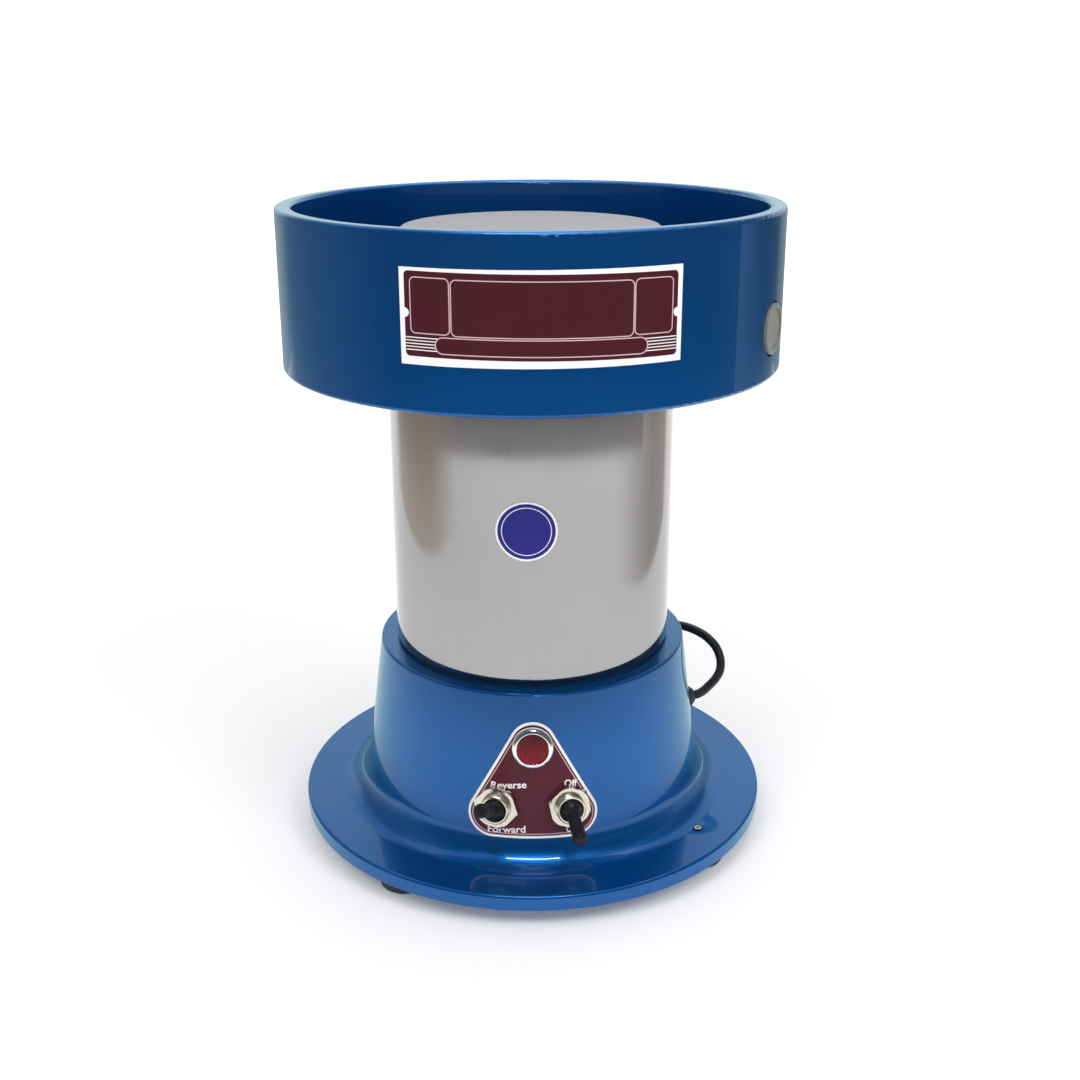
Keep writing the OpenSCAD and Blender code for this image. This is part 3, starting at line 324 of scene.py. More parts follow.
def turnedMetal(name, look):
    # facing marks run round the axis, as rings on a face and on a side
    material, graph, at = newMaterial(name)
    x, y, z = axes(at)
    radius = root(x * x + y * y)
    turns = graph.node("ShaderNodeCombineXYZ", None,
        {0: radius + look["sideShare"] * z, 1: look["drift"] * x, 2: look["drift"] * y})
    marks = noise(turns, look["markSize"], 2.0)
    clouds = noise(at, look["cloudSize"], 3.0)
    spots = noise(at, look["spotSize"], 4.0)
    shade(graph, {
        "Base Color": toned(look, marks, clouds, spots),
        "Metallic": look["metallic"],
        "Roughness": worn(look, clouds, marks),
        "Normal": bumped(marks, look["markDepth"]),
    })
    return material


discLook = {
    "dark": (0.265, 0.274, 0.292),
    "light": (0.395, 0.406, 0.425),
    "shares": (0.35, 0.4, 0.25),
    "metallic": 0.6,
    "roughness": 0.5,
    "swings": (0.18, 0.1),
    "markSize": 0.5 * mm,
    "markDepth": 0.012 * mm,
    "sideShare": 0.7,
    "drift": 0.02,
    "cloudSize": 18 * mm,
    "spotSize": 2.5 * mm,
}
finishNodes(turnedMetal("lappedDisc", discLook), "lap_disc")
groundLook = {
    **discLook,
    "dark": (0.50, 0.51, 0.52),
    "light": (0.66, 0.67, 0.68),
    "metallic": 1.0,
    "roughness": 0.24,
    "markSize": 0.3 * mm,
    "markDepth": 0.004 * mm,
    "cloudSize": 12 * mm,
    "spotSize": 1.5 * mm,
}
finishNodes(turnedMetal("groundSteel", groundLook), "motor_shaft", "bearing_outer_rings",
    "bearing_inner_rings", "bearing_balls", "rotor_core")


def castMetal(look):
    material, graph, at = newMaterial("castMetal")
    grain = noise(at, look["grainSize"], 3.0)
    clouds = noise(at, look["cloudSize"], 3.0)
    shade(graph, {
        "Base Color": toned(look, grain, clouds),
        "Metallic": look["metallic"],
        "Roughness": worn(look, grain),
        "Normal": bumped(grain, look["grainDepth"]),
    })
    return material


castLook = {
    "dark": (0.34, 0.345, 0.35),
    "light": (0.56, 0.565, 0.57),
    "shares": (0.5, 0.5),
    "metallic": 0.9,
    "roughness": 0.48,
    "swings": (0.2,),
    "grainSize": 0.9 * mm,
    "grainDepth": 0.05 * mm,
    "cloudSize": 14 * mm,
}
finishNodes(castMetal(castLook), "lower_bracket", "lap_hub", "rotor_cage")


def toDisc(x, y, centre, radius):
    dx = x - centre[0]
    dy = y - centre[1]
    return root(dx * dx + dy * dy) - radius


def platedMetal(name, look):
    # thin bright plating: soft smudges and fine scratches in the gloss
    material, graph, at = newMaterial(name)
    smudges = noise(at, look["smudgeSize"], 4.0)
    scratches = noise(stretched(at, look["scratchRun"]), look["scratchSize"], 2.0)
    colour = mixed(smudges, look["dark"], look["light"])
    if "tip" in look:
        # painted shade in the middle and round the edge of the one tip that comes through, for its
        # recess and its outline
        x, y = axes(at)[:2]
        reach = toDisc(x / mm, y / mm, look["tip"], look["unshadedRing"])
        unshaded = within(look["unshadedWidth"] - look["paintedShadeEdge"] * abs(reach))
        colour = mixed(unshaded, look["paintedShade"], colour)
    shade(graph, {
        "Base Color": colour,
        "Metallic": 1.0,
        "Roughness": within(worn(look, smudges), look["leastRough"], 1.0),
        "Normal": bumped(scratches, look["scratchDepth"]),
    })
    return material


nickelLook = {
    "dark": (0.52, 0.47, 0.39),
    "light": (0.80, 0.75, 0.67),
    "roughness": 0.2,
    "swings": (0.22,),
    "leastRough": 0.03,
    "smudgeSize": 4 * mm,
    "scratchSize": 0.4 * mm,
    "scratchRun": (1.0, 0.08, 0.6),
    "scratchDepth": 0.006 * mm,
}
zincLook = {**nickelLook, "dark": (0.48, 0.49, 0.51), "light": (0.72, 0.73, 0.75),
    "roughness": 0.28}
chromeLook = {**nickelLook, "dark": (0.72, 0.70, 0.69), "light": (0.88, 0.87, 0.86),
    "roughness": 0.16}
finishNodes(platedMetal("nickelPlate", nickelLook), "direction_switch_nut", "power_switch_nut",
    "switch_back_nuts", "lamp_nut", "plug_pins")
finishNodes(platedMetal("zincPlate", zincLook), "cover_screws", "motor_screws", "tie_bolts",
    "bowl_screws", "disc_screws", "inner_screws", "capacitor_clip", "wave_washer")
# the tip of this screw gets painted shade in its middle and round its edge
footScrewLook = {**zincLook, "tip": (69.1, -52.1), "unshadedRing": 1.05, "unshadedWidth": 1.6,
    "paintedShadeEdge": 2.4, "paintedShade": (0.015, 0.016, 0.018)}
finishNodes(platedMetal("footScrewZinc", footScrewLook), "foot_screws")
chrome = platedMetal("chromePlate", chromeLook)
blackScrewLook = {**zincLook, "dark": (0.02, 0.02, 0.022), "light": (0.06, 0.06, 0.065)}
finishNodes(platedMetal("blackenedSteel", blackScrewLook), "hub_grub_screw")


def sheetSteel(look):
    material, graph, at = newMaterial("sheetSteel")
    rolls = noise(stretched(at, look["rollRun"]), look["rollSize"], 3.0)
    clouds = noise(at, look["cloudSize"], 4.0)
    shade(graph, {
        "Base Color": toned(look, rolls, clouds),
        "Metallic": 1.0,
        "Roughness": worn(look, clouds),
        "Normal": bumped(rolls, look["rollDepth"]),
    })
    return material


sheetLook = {
    "dark": (0.36, 0.37, 0.38),
    "light": (0.58, 0.59, 0.61),
    "shares": (0.4, 0.6),
    "roughness": 0.36,
    "swings": (0.2,),
    "rollSize": 0.5 * mm,
    "rollRun": (0.03, 1.0, 1.0),
    "rollDepth": 0.006 * mm,
    "cloudSize": 22 * mm,
}
finishNodes(sheetSteel(sheetLook), "bottom_cover")


def stackedSheets(look):
    material, graph, at = newMaterial("coreLaminations")
    part = axes(at)[2] / look["sheet"]
    edge = abs(2 * part.math("FRACT", part) - 1)
    grain = noise(at, look["grainSize"], 2.0)
    shade(graph, {
        "Base Color": toned(look, edge, grain),
        "Metallic": look["metallic"],
        "Roughness": worn(look, grain),
        "Normal": bumped(edge, look["gap"]),
    })
    return material


coreLook = {
    "dark": (0.10, 0.10, 0.11),
    "light": (0.33, 0.34, 0.35),
    "shares": (0.6, 0.4),
    "metallic": 0.9,
    "roughness": 0.4,
    "swings": (0.2,),
    "sheet": 0.5 * mm,
    "gap": 0.05 * mm,
    "grainSize": 3 * mm,
}
finishNodes(stackedSheets(coreLook), "stator_core")


def varnishedCopper(look):
    # wires lie round the bundle, so their ridges run round the axis
    material, graph, at = newMaterial("varnishedCopper")
    x, y, z = axes(at)
    radius = root(x * x + y * y)
    drift = noise(at, look["driftSize"], 2.0)
    lay = (radius + z) / look["wire"] + look["stray"] * drift
    ridge = abs(2 * lay.math("FRACT", lay) - 1)
    shade(graph, {
        "Base Color": toned(look, ridge, drift),
        "Metallic": look["metallic"],
        "Roughness": worn(look, drift),
        "Coat Weight": look["coat"],
        "Coat Roughness": look["coatRoughness"],
        "Normal": bumped(ridge, look["ridge"]),
    })
    return material


copperLook = {
    "dark": (0.16, 0.035, 0.012),
    "light": (0.52, 0.17, 0.06),
    "shares": (0.6, 0.4),
    "metallic": 0.7,
    "coat": 0.5,
    "coatRoughness": 0.15,
    "roughness": 0.3,
    "swings": (0.15,),
    "wire": 0.8 * mm,
    "stray": 1.6,
    "ridge": 0.25 * mm,
    "driftSize": 9 * mm,
}
finishNodes(varnishedCopper(copperLook), "stator_windings")
print("metals done")


# Rubber and plastics share one maker: a tinted ground, a fine skin and soft wear

def moulded(name, look):
    material, graph, at = newMaterial(name)
    skin = noise(at, look["skinSize"], 3.0)
    wear = noise(at, look["wearSize"], 4.0)
    sockets = {
        "Base Color": toned(look, wear - look["wearFrom"]),
        "Roughness": within(worn(look, wear, skin), look["leastRough"], 1.0),
        "Normal": bumped(skin, look["skinDepth"]),
    }
    sockets.update(look.get("extra", {}))
    shade(graph, sockets)
    return material


rubberLook = {
    "dark": (0.012, 0.012, 0.013),
    "light": (0.034, 0.033, 0.033),
    "shares": (1.6,),
    "wearFrom": 0.1875,
    "roughness": 0.62,
    "swings": (0.25, 0.08),
    "leastRough": 0.04,
    "skinSize": 0.35 * mm,
    "skinDepth": 0.02 * mm,
    "wearSize": 5 * mm,
}
leverLook = {**rubberLook, "dark": (0.006, 0.006, 0.0075), "light": (0.012, 0.012, 0.015),
    "roughness": 0.42, "skinDepth": 0.006 * mm, "extra": {"Specular IOR Level": 0.3}}
cordLook = {**rubberLook, "dark": (0.010, 0.010, 0.011), "light": (0.020, 0.020, 0.022),
    "roughness": 0.34, "skinDepth": 0.008 * mm}
phenolLook = {**rubberLook, "dark": (0.028, 0.014, 0.009), "light": (0.075, 0.038, 0.024),
    "roughness": 0.4}
creamLook = {**rubberLook, "dark": (0.62, 0.58, 0.47), "light": (0.78, 0.75, 0.66),
    "roughness": 0.38}
plugLook = {**rubberLook, "dark": (0.19, 0.20, 0.18), "light": (0.27, 0.275, 0.255),
    "roughness": 0.42, "skinSize": 0.7 * mm, "skinDepth": 0.015 * mm}
wireLook = {**rubberLook, "dark": (0.32, 0.02, 0.015), "light": (0.45, 0.035, 0.025),
    "roughness": 0.32}
canLook = {**rubberLook, "dark": (0.52, 0.52, 0.51), "light": (0.68, 0.68, 0.67),
    "roughness": 0.34, "extra": {"Metallic": 0.9}}
cordJacket = moulded("cordJacket", cordLook)
finishNodes(moulded("blackRubber", rubberLook), "rubber_feet", "motor_gasket", "shaft_seal",
    "plug_seal", "cord_grommet")
finishNodes(moulded("leverPlastic", leverLook), "direction_switch_lever", "power_switch_lever")
finishNodes(cordJacket, "coil_tie", "plug_body", "cord_lead", "cord_coil")
finishNodes(moulded("phenolic", phenolLook), "direction_switch_body", "power_switch_body")
finishNodes(moulded("creamPlastic", creamLook), "lamp_holder", "terminal_block")
finishNodes(moulded("greyPlug", plugLook), "side_plug")
finishNodes(moulded("wireInsulation", wireLook), "internal_leads")
finishNodes(moulded("capacitorCan", canLook), "capacitor")


def lensRed(look):
    # painted light in its lower half, and painted shade of the bezel along its upper edge
    material, graph, at = newMaterial("lensRed")
    patches = noise(at, look["patchSize"], 2.0)
    low, high = look["glowFrom"], look["glowTo"]
    fall = within((high - axes(at)[2] / mm) / (high - low))
    shade(graph, {
        "Base Color": toned(look, fall, patches - look["patchFrom"]),
        "Roughness": worn(look, patches),
        "Specular IOR Level": look["gloss"],
    })
    return material


lensLook = {
    "dark": (0.030, 0.003, 0.006),
    "light": (0.30, 0.009, 0.018),
    "shares": (0.75, 0.5),
    "roughness": 0.18,
    "swings": (0.12,),
    "gloss": 0.2,
    "patchSize": 3 * mm,
    "patchFrom": 0.25,
    # heights over which the lens's painted light fades into painted shade
    "glowFrom": 55.0,
    "glowTo": 67.5,
}
finishNodes(lensRed(lensLook), "lamp_lens")
print("plastics done")


# Printed plates: every line is drawn from its distance to a simple outline

inks = {
    "maroon": (0.060, 0.0095, 0.0185),
    "maroonLight": (0.078, 0.013, 0.025),
    # the control plate's maroon is the nameplate's maroon made lighter: painted light on the
    # control plate
    "panelMaroon": (0.082, 0.0125, 0.026),
    "panelMaroonLight": (0.105, 0.017, 0.034),
    "white": (0.95, 0.93, 0.93),
    "pink": (0.70, 0.46, 0.49),
    "indigo": (0.020, 0.017, 0.20),
    "indigoLight": (0.028, 0.025, 0.26),
    "wordWhite": (1.0, 0.98, 0.98),
    "wordWorn": (0.84, 0.81, 0.81),
}
edgeSoftness = 0.06
sheetSkin = {
    "mottleSize": 1.2 * mm,
    "mottleDepth": 0.006 * mm,
    "roughness": 0.30,
    "swings": (0.12,),
    "gloss": 0.18,
    "inkPatch": 8 * mm,
}


def inside(distance):
    return within(0.5 - distance / edgeSoftness)


def ruled(distance, width):
    return within((width / 2 - abs(distance)) / edgeSoftness + 0.5)


def toBox(x, y, box):
    # signed distance to a box with round corners: left, low, right, high, corner
    left, low, right, high, corner = box
    dx = abs(x - (left + right) / 2) - ((right - left) / 2 - corner)
    dy = abs(y - (low + high) / 2) - ((high - low) / 2 - corner)
    ox = larger(dx, 0.0)
    oy = larger(dy, 0.0)
    return root(ox * ox + oy * oy) + smaller(larger(dx, dy), 0.0) - corner


def toSegment(x, y, start, end):
    run = (end[0] - start[0], end[1] - start[1])
    px = x - start[0]
    py = y - start[1]
    along = within((px * run[0] + py * run[1]) / (run[0] ** 2 + run[1] ** 2))
    qx = px - along * run[0]
    qy = py - along * run[1]
    return root(qx * qx + qy * qy)


def inked(at, ink, size=sheetSkin["inkPatch"]):
    return mixed(noise(at, size, 3.0), inks[ink], inks[ink + "Light"])


def printedSheet(graph, at, colour, skin=sheetSkin):
    mottle = noise(at, skin["mottleSize"], 3.0)
    shade(graph, {
        "Base Color": colour,
        "Roughness": worn(skin, mottle),
        "Specular IOR Level": skin["gloss"],
        "Normal": bumped(mottle, skin["mottleDepth"]),
    })


namePrint = {
    "azimuth": 2.3,
    "radius": 100.7,
    "height": 237.0,
    "lean": 0.0081,
    "rise": -0.35,
    "field": (-48.2, -14.3, 48.2, 14.7, 1.6),
    "leftBox": (-46.0, -6.3, -31.8, 12.6, 1.8),
    "middleBox": (-31.2, -6.6, 31.3, 12.3, 1.9),
    "rightBox": (31.8, -6.3, 46.2, 12.6, 1.8),
    "pill": (-37.0, -12.9, 36.6, -7.3, 2.7),
    "stripes": (-12.6, -7.4),
    "stripePitch": 1.06,
    "stripe": 0.34,
    "stripeInset": 0.2,
    "notch": (48.2, 0.5, 1.6),
    "line": 0.38,
}


def nameplatePrint(look):
    material, graph, at = newMaterial("nameplatePrint")
    x, y, z = axes(at)
    turn = x.math("ARCTAN2", x, 0 - y) - math.radians(look["azimuth"])
    s = turn * look["radius"]
    h = z / mm - look["height"] + look["lean"] * s + look["rise"]
    colour = inked(at, "maroon")
    low, high = look["stripes"]
    inPill = inside(toBox(s, h, look["pill"]))
    wave = (h - low) / look["stripePitch"]
    saw = abs(wave.math("FRACT", wave) - 0.5) * look["stripePitch"]
    band = inside(abs(h - (low + high) / 2) - (high - low) / 2)
    stripes = ruled(saw, look["stripe"]) * band * (1 - inPill)
    fieldEnd = look["field"][2] - look["stripeInset"]
    colour = mixed(stripes * inside(abs(s) - fieldEnd), colour, inks["white"])
    for name in ("leftBox", "middleBox", "rightBox", "pill"):
        frameLine = ruled(toBox(s, h, look[name]), look["line"])
        colour = mixed(frameLine, colour, inks["pink"])
    cx, cy, radius = look["notch"]
    notches = inside(toDisc(abs(s), h, (cx, cy), radius))
    rim = 1 - inside(toBox(s, h, look["field"]))
    colour = mixed(larger(rim, notches), colour, inks["white"])
    printedSheet(graph, at, colour)
    return material


finishNodes(nameplatePrint(namePrint), "nameplate")

panelPrint = {
    "low": (16.7, 31.8),
    "high": (0.0, 61.7),
    "corner": 9.3,
    "rim": 0.95,
    "lineIn": 1.75,
    "line": 0.34,
}


def controlPlatePrint(look):
    material, graph, at = newMaterial("controlPlatePrint")
    x, y, z = axes(at)
    px = abs(x / mm)
    pz = z / mm
    side = toSegment(px, pz, look["low"], look["high"])
    foot = toSegment(px, pz, (0.0, look["low"][1]), look["low"])
    depth = look["corner"] - smaller(side, foot)
    up = pz - look["low"][1]
    slope = (look["high"][1] - look["low"][1]) / look["low"][0]
    border = 1 - inside(up * -1) * inside((px - look["low"][0]) * slope + up)
    # the lighter maroon of this plate is painted light
    colour = inked(at, "panelMaroon")
    colour = mixed(ruled(depth - look["lineIn"], look["line"]) * border, colour, inks["pink"])
    colour = mixed(inside(depth - look["rim"]) * border, colour, inks["white"])
    printedSheet(graph, at, colour)
    return material


finishNodes(controlPlatePrint(panelPrint), "control_plate")

badgePrint = {
    "centre": (-2.05, 147.8),
    "radius": 12.0,
    "rim": 0.8,
    "ringAt": 9.6,
    "ring": 0.3,
    "inkPatch": 5 * mm,
}


def roundBadgePrint(look):
    material, graph, at = newMaterial("badgePrint")
    x, y, z = axes(at)
    reach = toDisc(x / mm, z / mm, look["centre"], 0.0)
    colour = inked(at, "indigo", look["inkPatch"])
    colour = mixed(ruled(reach - look["ringAt"], look["ring"]), colour, inks["white"])
    colour = mixed(inside(look["radius"] - look["rim"] - reach), colour, inks["white"])
    printedSheet(graph, at, colour)
    return material


finishNodes(roundBadgePrint(badgePrint), "badge")
print("prints done")


# One maker of smooth mesh pieces, with sharp edges where faces meet above the crease angle

def meshPiece(name, vertices, faces, material, crease, body="root"):
    data = bpy.data.meshes.new(name)
    data.from_pydata([tuple(v) for v in vertices], [], faces)
    data.validate()
    data.materials.append(material)
    for face in data.polygons:
        face.use_smooth = True
    data.set_sharp_from_angle(angle=math.radians(crease))
    piece = bpy.data.objects.new(name, data)
    scene.collection.objects.link(piece)
    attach(piece, body)
    return piece


# Mains cord: the listed route, then the stored coil and its tail to the plug

cord = {
    "diameter": 4.0,
    "route": [
        (73.4, 10.3, 44.5), (74.9, 10.5, 44.7), (77.4, 11.3, 45.6), (79.8, 12.5, 47.2),
        (83.3, 14.5, 50), (85.8, 17, 53.2), (86.5, 20.5, 57), (85.2, 24.5, 60.8),
        (82.6, 27.5, 63.6), (79, 30.5, 65.7), (74.5, 33.5, 67), (70, 36.8, 67.2),
        (64, 41.5, 66), (58, 46.8, 63.2), (52, 52.5, 58.6), (46.4, 58.6, 52.4),
        (41.2, 65, 45), (36.6, 71.5, 37.2), (32.4, 78, 29.6), (28.4, 84.8, 22.8),
        (24.9, 91.5, 18), (21.8, 98.2, 15.9), (19.4, 104.8, 14.4), (17.6, 111.4, 11.4),
        (16.2, 118, 7.8), (15.4, 124.6, 4.8), (15.2, 131.2, 3.2), (15.2, 138, 2.9),
    ],
    "coilCentre": (-12.0, 142.0),
    "coilRadius": 22.0,
    "coilLow": 2.9,
    "turnPitch": 4.6,
    "layers": 4,
    "turns": 9,
    "ringsPerTurn": 40,
    "tailRun": 18.0,
    "tailRadius": 16.5,
    "tailSteps": 20,
    "plugHeight": 6.85,
    "stepsPerPoint": 5,
    "roundSteps": 5,
}


def coilPlace(turn, look):
    perLayer = look["turns"] / look["layers"]
    pitch = look["turnPitch"]
    outer = look["coilRadius"] + perLayer * pitch / 2
    inner = look["coilRadius"] - perLayer * pitch / 2
    layer = min(math.floor(turn / perLayer), look["layers"] - 1)
    part = turn - layer * perLayer
    radius = outer - part * pitch if layer % 2 == 0 else inner + part * pitch
    nearest = math.floor(turn / perLayer + 0.5)
    climb = min(max((turn - nearest * perLayer) * 2, -0.5), 0.5)
    level = nearest - 0.5 + climb
    if nearest == 0:
        level = 0
    elif nearest == look["layers"]:
        level = look["layers"] - 1
    angle = 2 * math.pi * turn
    x = look["coilCentre"][0] + radius * math.cos(angle)
    y = look["coilCentre"][1] + radius * math.sin(angle)
    return Vector((x, y, look["coilLow"] + level * pitch))


def smoothThrough(points, steps):
    # a rounded line through every point of the list
    p = [Vector(q) for q in points]
    line = []
    for i in range(len(p) - 1):
        a, b, c, d = p[max(i - 1, 0)], p[i], p[i + 1], p[min(i + 2, len(p) - 1)]
        for s in range(steps):
            t = s / steps
            line.append(0.5 * (2 * b + (c - a) * t + (2 * a - 5 * b + 4 * c - d) * t * t
                + (3 * b - a - 3 * c + d) * t * t * t))
    return line


def cordLine(look):
    line = smoothThrough(look["route"], look["stepsPerPoint"])
    rings = look["ringsPerTurn"]
    line += [coilPlace(i / rings, look) for i in range(rings * look["turns"] + 1)]
    top = line[-1]
    plugX = top[0] + 2 * look["tailRadius"]
    plugY = look["coilCentre"][1] + look["tailRun"]
    line.append(Vector((top[0], top[1] + look["tailRun"] / 2, top[2])))
    for i in range(look["tailSteps"] + 1):
        t = i / look["tailSteps"]
        drop = t * t * (3 - 2 * t) * (look["plugHeight"] - top[2])
        side = plugX - look["tailRadius"] * (1 + math.cos(math.pi * t))
        ahead = plugY + look["tailRadius"] * math.sin(math.pi * t)
        line.append(Vector((side, ahead, top[2] + drop)))
    line.append(Vector((plugX, plugY - look["diameter"], look["plugHeight"])))
    return [point * mm for point in line]


# The strap that ties the stored coil

strap = {
    "left": -42.1,
    "right": -25.8,
    "low": 0.1,
    "high": 19.7,
    "corner": 3.6,
    "thick": 0.8,
    "y": 142.0,
    "width": 5.0,
    "cornerSteps": 8,
    "crease": 40,
}


def tieCoil(look):
    corners = [(look["right"], look["high"], 0), (look["left"], look["high"], 90),
        (look["left"], look["low"], 180), (look["right"], look["low"], 270)]
    vertices = []
    outer = look["corner"]
    inner = outer - look["thick"]
    section = ((outer, -0.5), (outer, 0.5), (inner, 0.5), (inner, -0.5))
    steps = look["cornerSteps"]
    for x, z, turn in corners:
        centreX = x - outer if x == look["right"] else x + outer
        centreZ = z - outer if z == look["high"] else z + outer
        for step in range(steps + 1):
            angle = math.radians(turn + step * 90 / steps)
            for radius, side in section:
                vertices.append(Vector((centreX + radius * math.cos(angle),
                    look["y"] + side * look["width"], centreZ + radius * math.sin(angle))) * mm)
    faces = []
    sides = len(section)
    count = len(vertices) // sides
    for i in range(count):
        a, b = sides * i, sides * ((i + 1) % count)
        for k in range(sides):
            n = (k + 1) % sides
            faces.append((a + k, b + k, b + n, a + n))
    piece = meshPiece("coilStrap", vertices, faces, cordJacket, look["crease"])
    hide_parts("coil_tie")


tieCoil(strap)


def layCord(look):
    line = cordLine(look)
    data = bpy.data.curves.new("mainsCord", "CURVE")
    data.dimensions = "3D"
    data.bevel_depth = look["diameter"] / 2 * mm
    data.bevel_resolution = look["roundSteps"]
    data.use_fill_caps = True
    spline = data.splines.new("POLY")
    spline.points.add(len(line) - 1)
    for point, place in zip(spline.points, line):
        point.co = (*place, 1.0)
    spline.use_smooth = True
    data.materials.append(cordJacket)
    piece = bpy.data.objects.new("mainsCord", data)
    scene.collection.objects.link(piece)
    length = sum((b - a).length for a, b in zip(line, line[1:]))
    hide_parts("cord_lead", "cord_coil")
    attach(piece, "root")
    print("cord length", round(length, 4))


layCord(cord)


# Places on the sloping base wall, as the casting has them

wall = {"deckRadius": 65.6, "deckHeight": 82.5, "flare": 0.13}


def wallRadius(z):
    return wall["deckRadius"] + wall["flare"] * (wall["deckHeight"] - z)


def onWall(az, z):
    # +Z points out of the wall and +Y up along it
    turn = math.radians(az)
    tilt = math.atan(wall["flare"])
    spot = Vector((wallRadius(z) * math.sin(turn), -wallRadius(z) * math.cos(turn), z)) * mm
    across = Vector((math.cos(turn), math.sin(turn), 0))
    out = Vector((math.sin(turn) * math.cos(tilt), -math.cos(turn) * math.cos(tilt),
        math.sin(tilt)))
    up = out.cross(across)
    return Matrix.Translation(spot) @ Matrix((across, up, out)).transposed().to_4x4()


# Threaded bushings of the switches

bush = {
    "radius": 6.0,
    "back": 9.5,
    "front": 6.0,
    "threadFrom": 0.2,
    "pitch": 0.75,
    "depth": 0.38,
    "chamfer": 0.45,
    "crestShare": 1.5,
    "runOut": 0.3,
    "socket": 4.7,
    "socketEdge": 0.25,
    "socketBack": -2.5,
    "floorHole": 0.3,
    "columns": 72,
    "rowsPerTurn": 8,
    "crease": 38,
}


def threadRadius(z, angle, look):
    wave = (z / look["pitch"] - angle / (2 * math.pi)) % 1.0
    ridge = min(abs(2 * wave - 1) * look["crestShare"], 1.0)
    fade = min(max((look["front"] - look["chamfer"] - z) / look["runOut"], 0.0), 1.0)
    return look["radius"] - look["depth"] * (1 - ridge) * fade


def threadedBush(name, place, node, material, look):
    columns = look["columns"]
    rows = [(-look["back"], None), (look["threadFrom"], None)]
    count = int((look["front"] - look["threadFrom"]) / look["pitch"] * look["rowsPerTurn"])
    for i in range(1, count + 1):
        rows.append((look["threadFrom"] + i * look["pitch"] / look["rowsPerTurn"], "thread"))
    top = look["front"] - look["chamfer"]
    rows = [r for r in rows if r[0] < top - 0.01] + [(top, None)]
    vertices = []
    for z, kind in rows:
        for c in range(columns):
            angle = 2 * math.pi * c / columns
            r = threadRadius(z, angle, look) if kind else look["radius"]
            vertices.append((r * math.cos(angle), r * math.sin(angle), z))
    inner = [(look["radius"] - look["chamfer"], look["front"]),
        (look["socket"] + look["socketEdge"], look["front"]),
        (look["socket"], look["front"] - look["socketEdge"]),
        (look["socket"], look["socketBack"]), (look["floorHole"], look["socketBack"])]
    for r, z in inner:
        for c in range(columns):
            angle = 2 * math.pi * c / columns
            vertices.append((r * math.cos(angle), r * math.sin(angle), z))
    faces = []
    for i in range(len(rows) + len(inner) - 1):
        for c in range(columns):
            d = (c + 1) % columns
            a, b = i * columns, (i + 1) * columns
            faces.append((a + c, a + d, b + d, b + c))
    placed = [place @ (Vector(v) * mm) for v in vertices]
    piece = meshPiece(name, placed, faces, material, look["crease"])
    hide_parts(node)


threadMetal = platedMetal("threadNickel", {**nickelLook, "dark": (0.54, 0.48, 0.37),
    "light": (0.86, 0.81, 0.69), "roughness": 0.3})
switches = {"height": 35.7, "azimuth": 11.5}
threadedBush("directionThread", onWall(-switches["azimuth"], switches["height"]),
    "direction_switch_bushing", threadMetal, bush)
threadedBush("powerThread", onWall(switches["azimuth"], switches["height"]),
    "power_switch_bushing", threadMetal, bush)


# Bezel of the lamp: a domed chrome ring with a thin inner lip

bezel = {
    "height": 61.3,
    "profile": [
        (4.8, -16.0), (5.9, -16.0), (5.9, 0.5), (8.2, 0.5), (8.2, 3.7), (8.14, 4.0), (8.0, 4.28),
        (7.8, 4.5), (7.55, 4.67), (7.2, 4.8), (6.9, 4.87), (6.62, 4.9), (6.5, 4.88), (6.4, 4.8),
        (6.26, 4.4), (6.24, 2.5), (4.8, 2.5),
    ],
    "columns": 96,
    "crease": 40,
}


def spunRing(name, place, node, material, look):
    columns = look["columns"]
    profile = look["profile"]
    vertices = []
    for r, z in profile:
        for c in range(columns):
            angle = 2 * math.pi * c / columns
            vertices.append(place @ (Vector((r * math.cos(angle), r * math.sin(angle), z)) * mm))
    faces = []
    for i in range(len(profile)):
        a, b = i * columns, (i + 1) % len(profile) * columns
        for c in range(columns):
            d = (c + 1) % columns
            faces.append((a + c, a + d, b + d, b + c))
    piece = meshPiece(name, vertices, faces, material, look["crease"])
    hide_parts(node)


spunRing("bezelRing", onWall(0, bezel["height"]), "lamp_bezel", chrome, bezel)
print("bushings and bezel done")


# Printed words of the switch positions, laid on the control plate

lettering = {
    "words": [
        ("Reverse", -9.6, 43.4, 4.0, 14.2),
        ("Forward", -10.6, 24.6, 3.0, 15.2),
        ("Off", 15.2, 43.7, -3.9, 5.1),
        ("On", 15.6, 24.4, -3.0, 4.4),
    ],
    "height": 2.85,
    "lift": 0.03,
    "plate": 0.5,
    "bold": 0.022,
    "curveSteps": 4,
    "wornPatch": 0.8 * mm,
    "roughness": 0.4,
    "swings": (0.1,),
}


def whiteInk(look):
    material, graph, at = newMaterial("whiteInk")
    fade = noise(at, look["wornPatch"], 2.0)
    shade(graph, {
        "Base Color": mixed(fade, inks["wordWorn"], inks["wordWhite"]),
        "Roughness": worn(look, fade),
    })
    return material


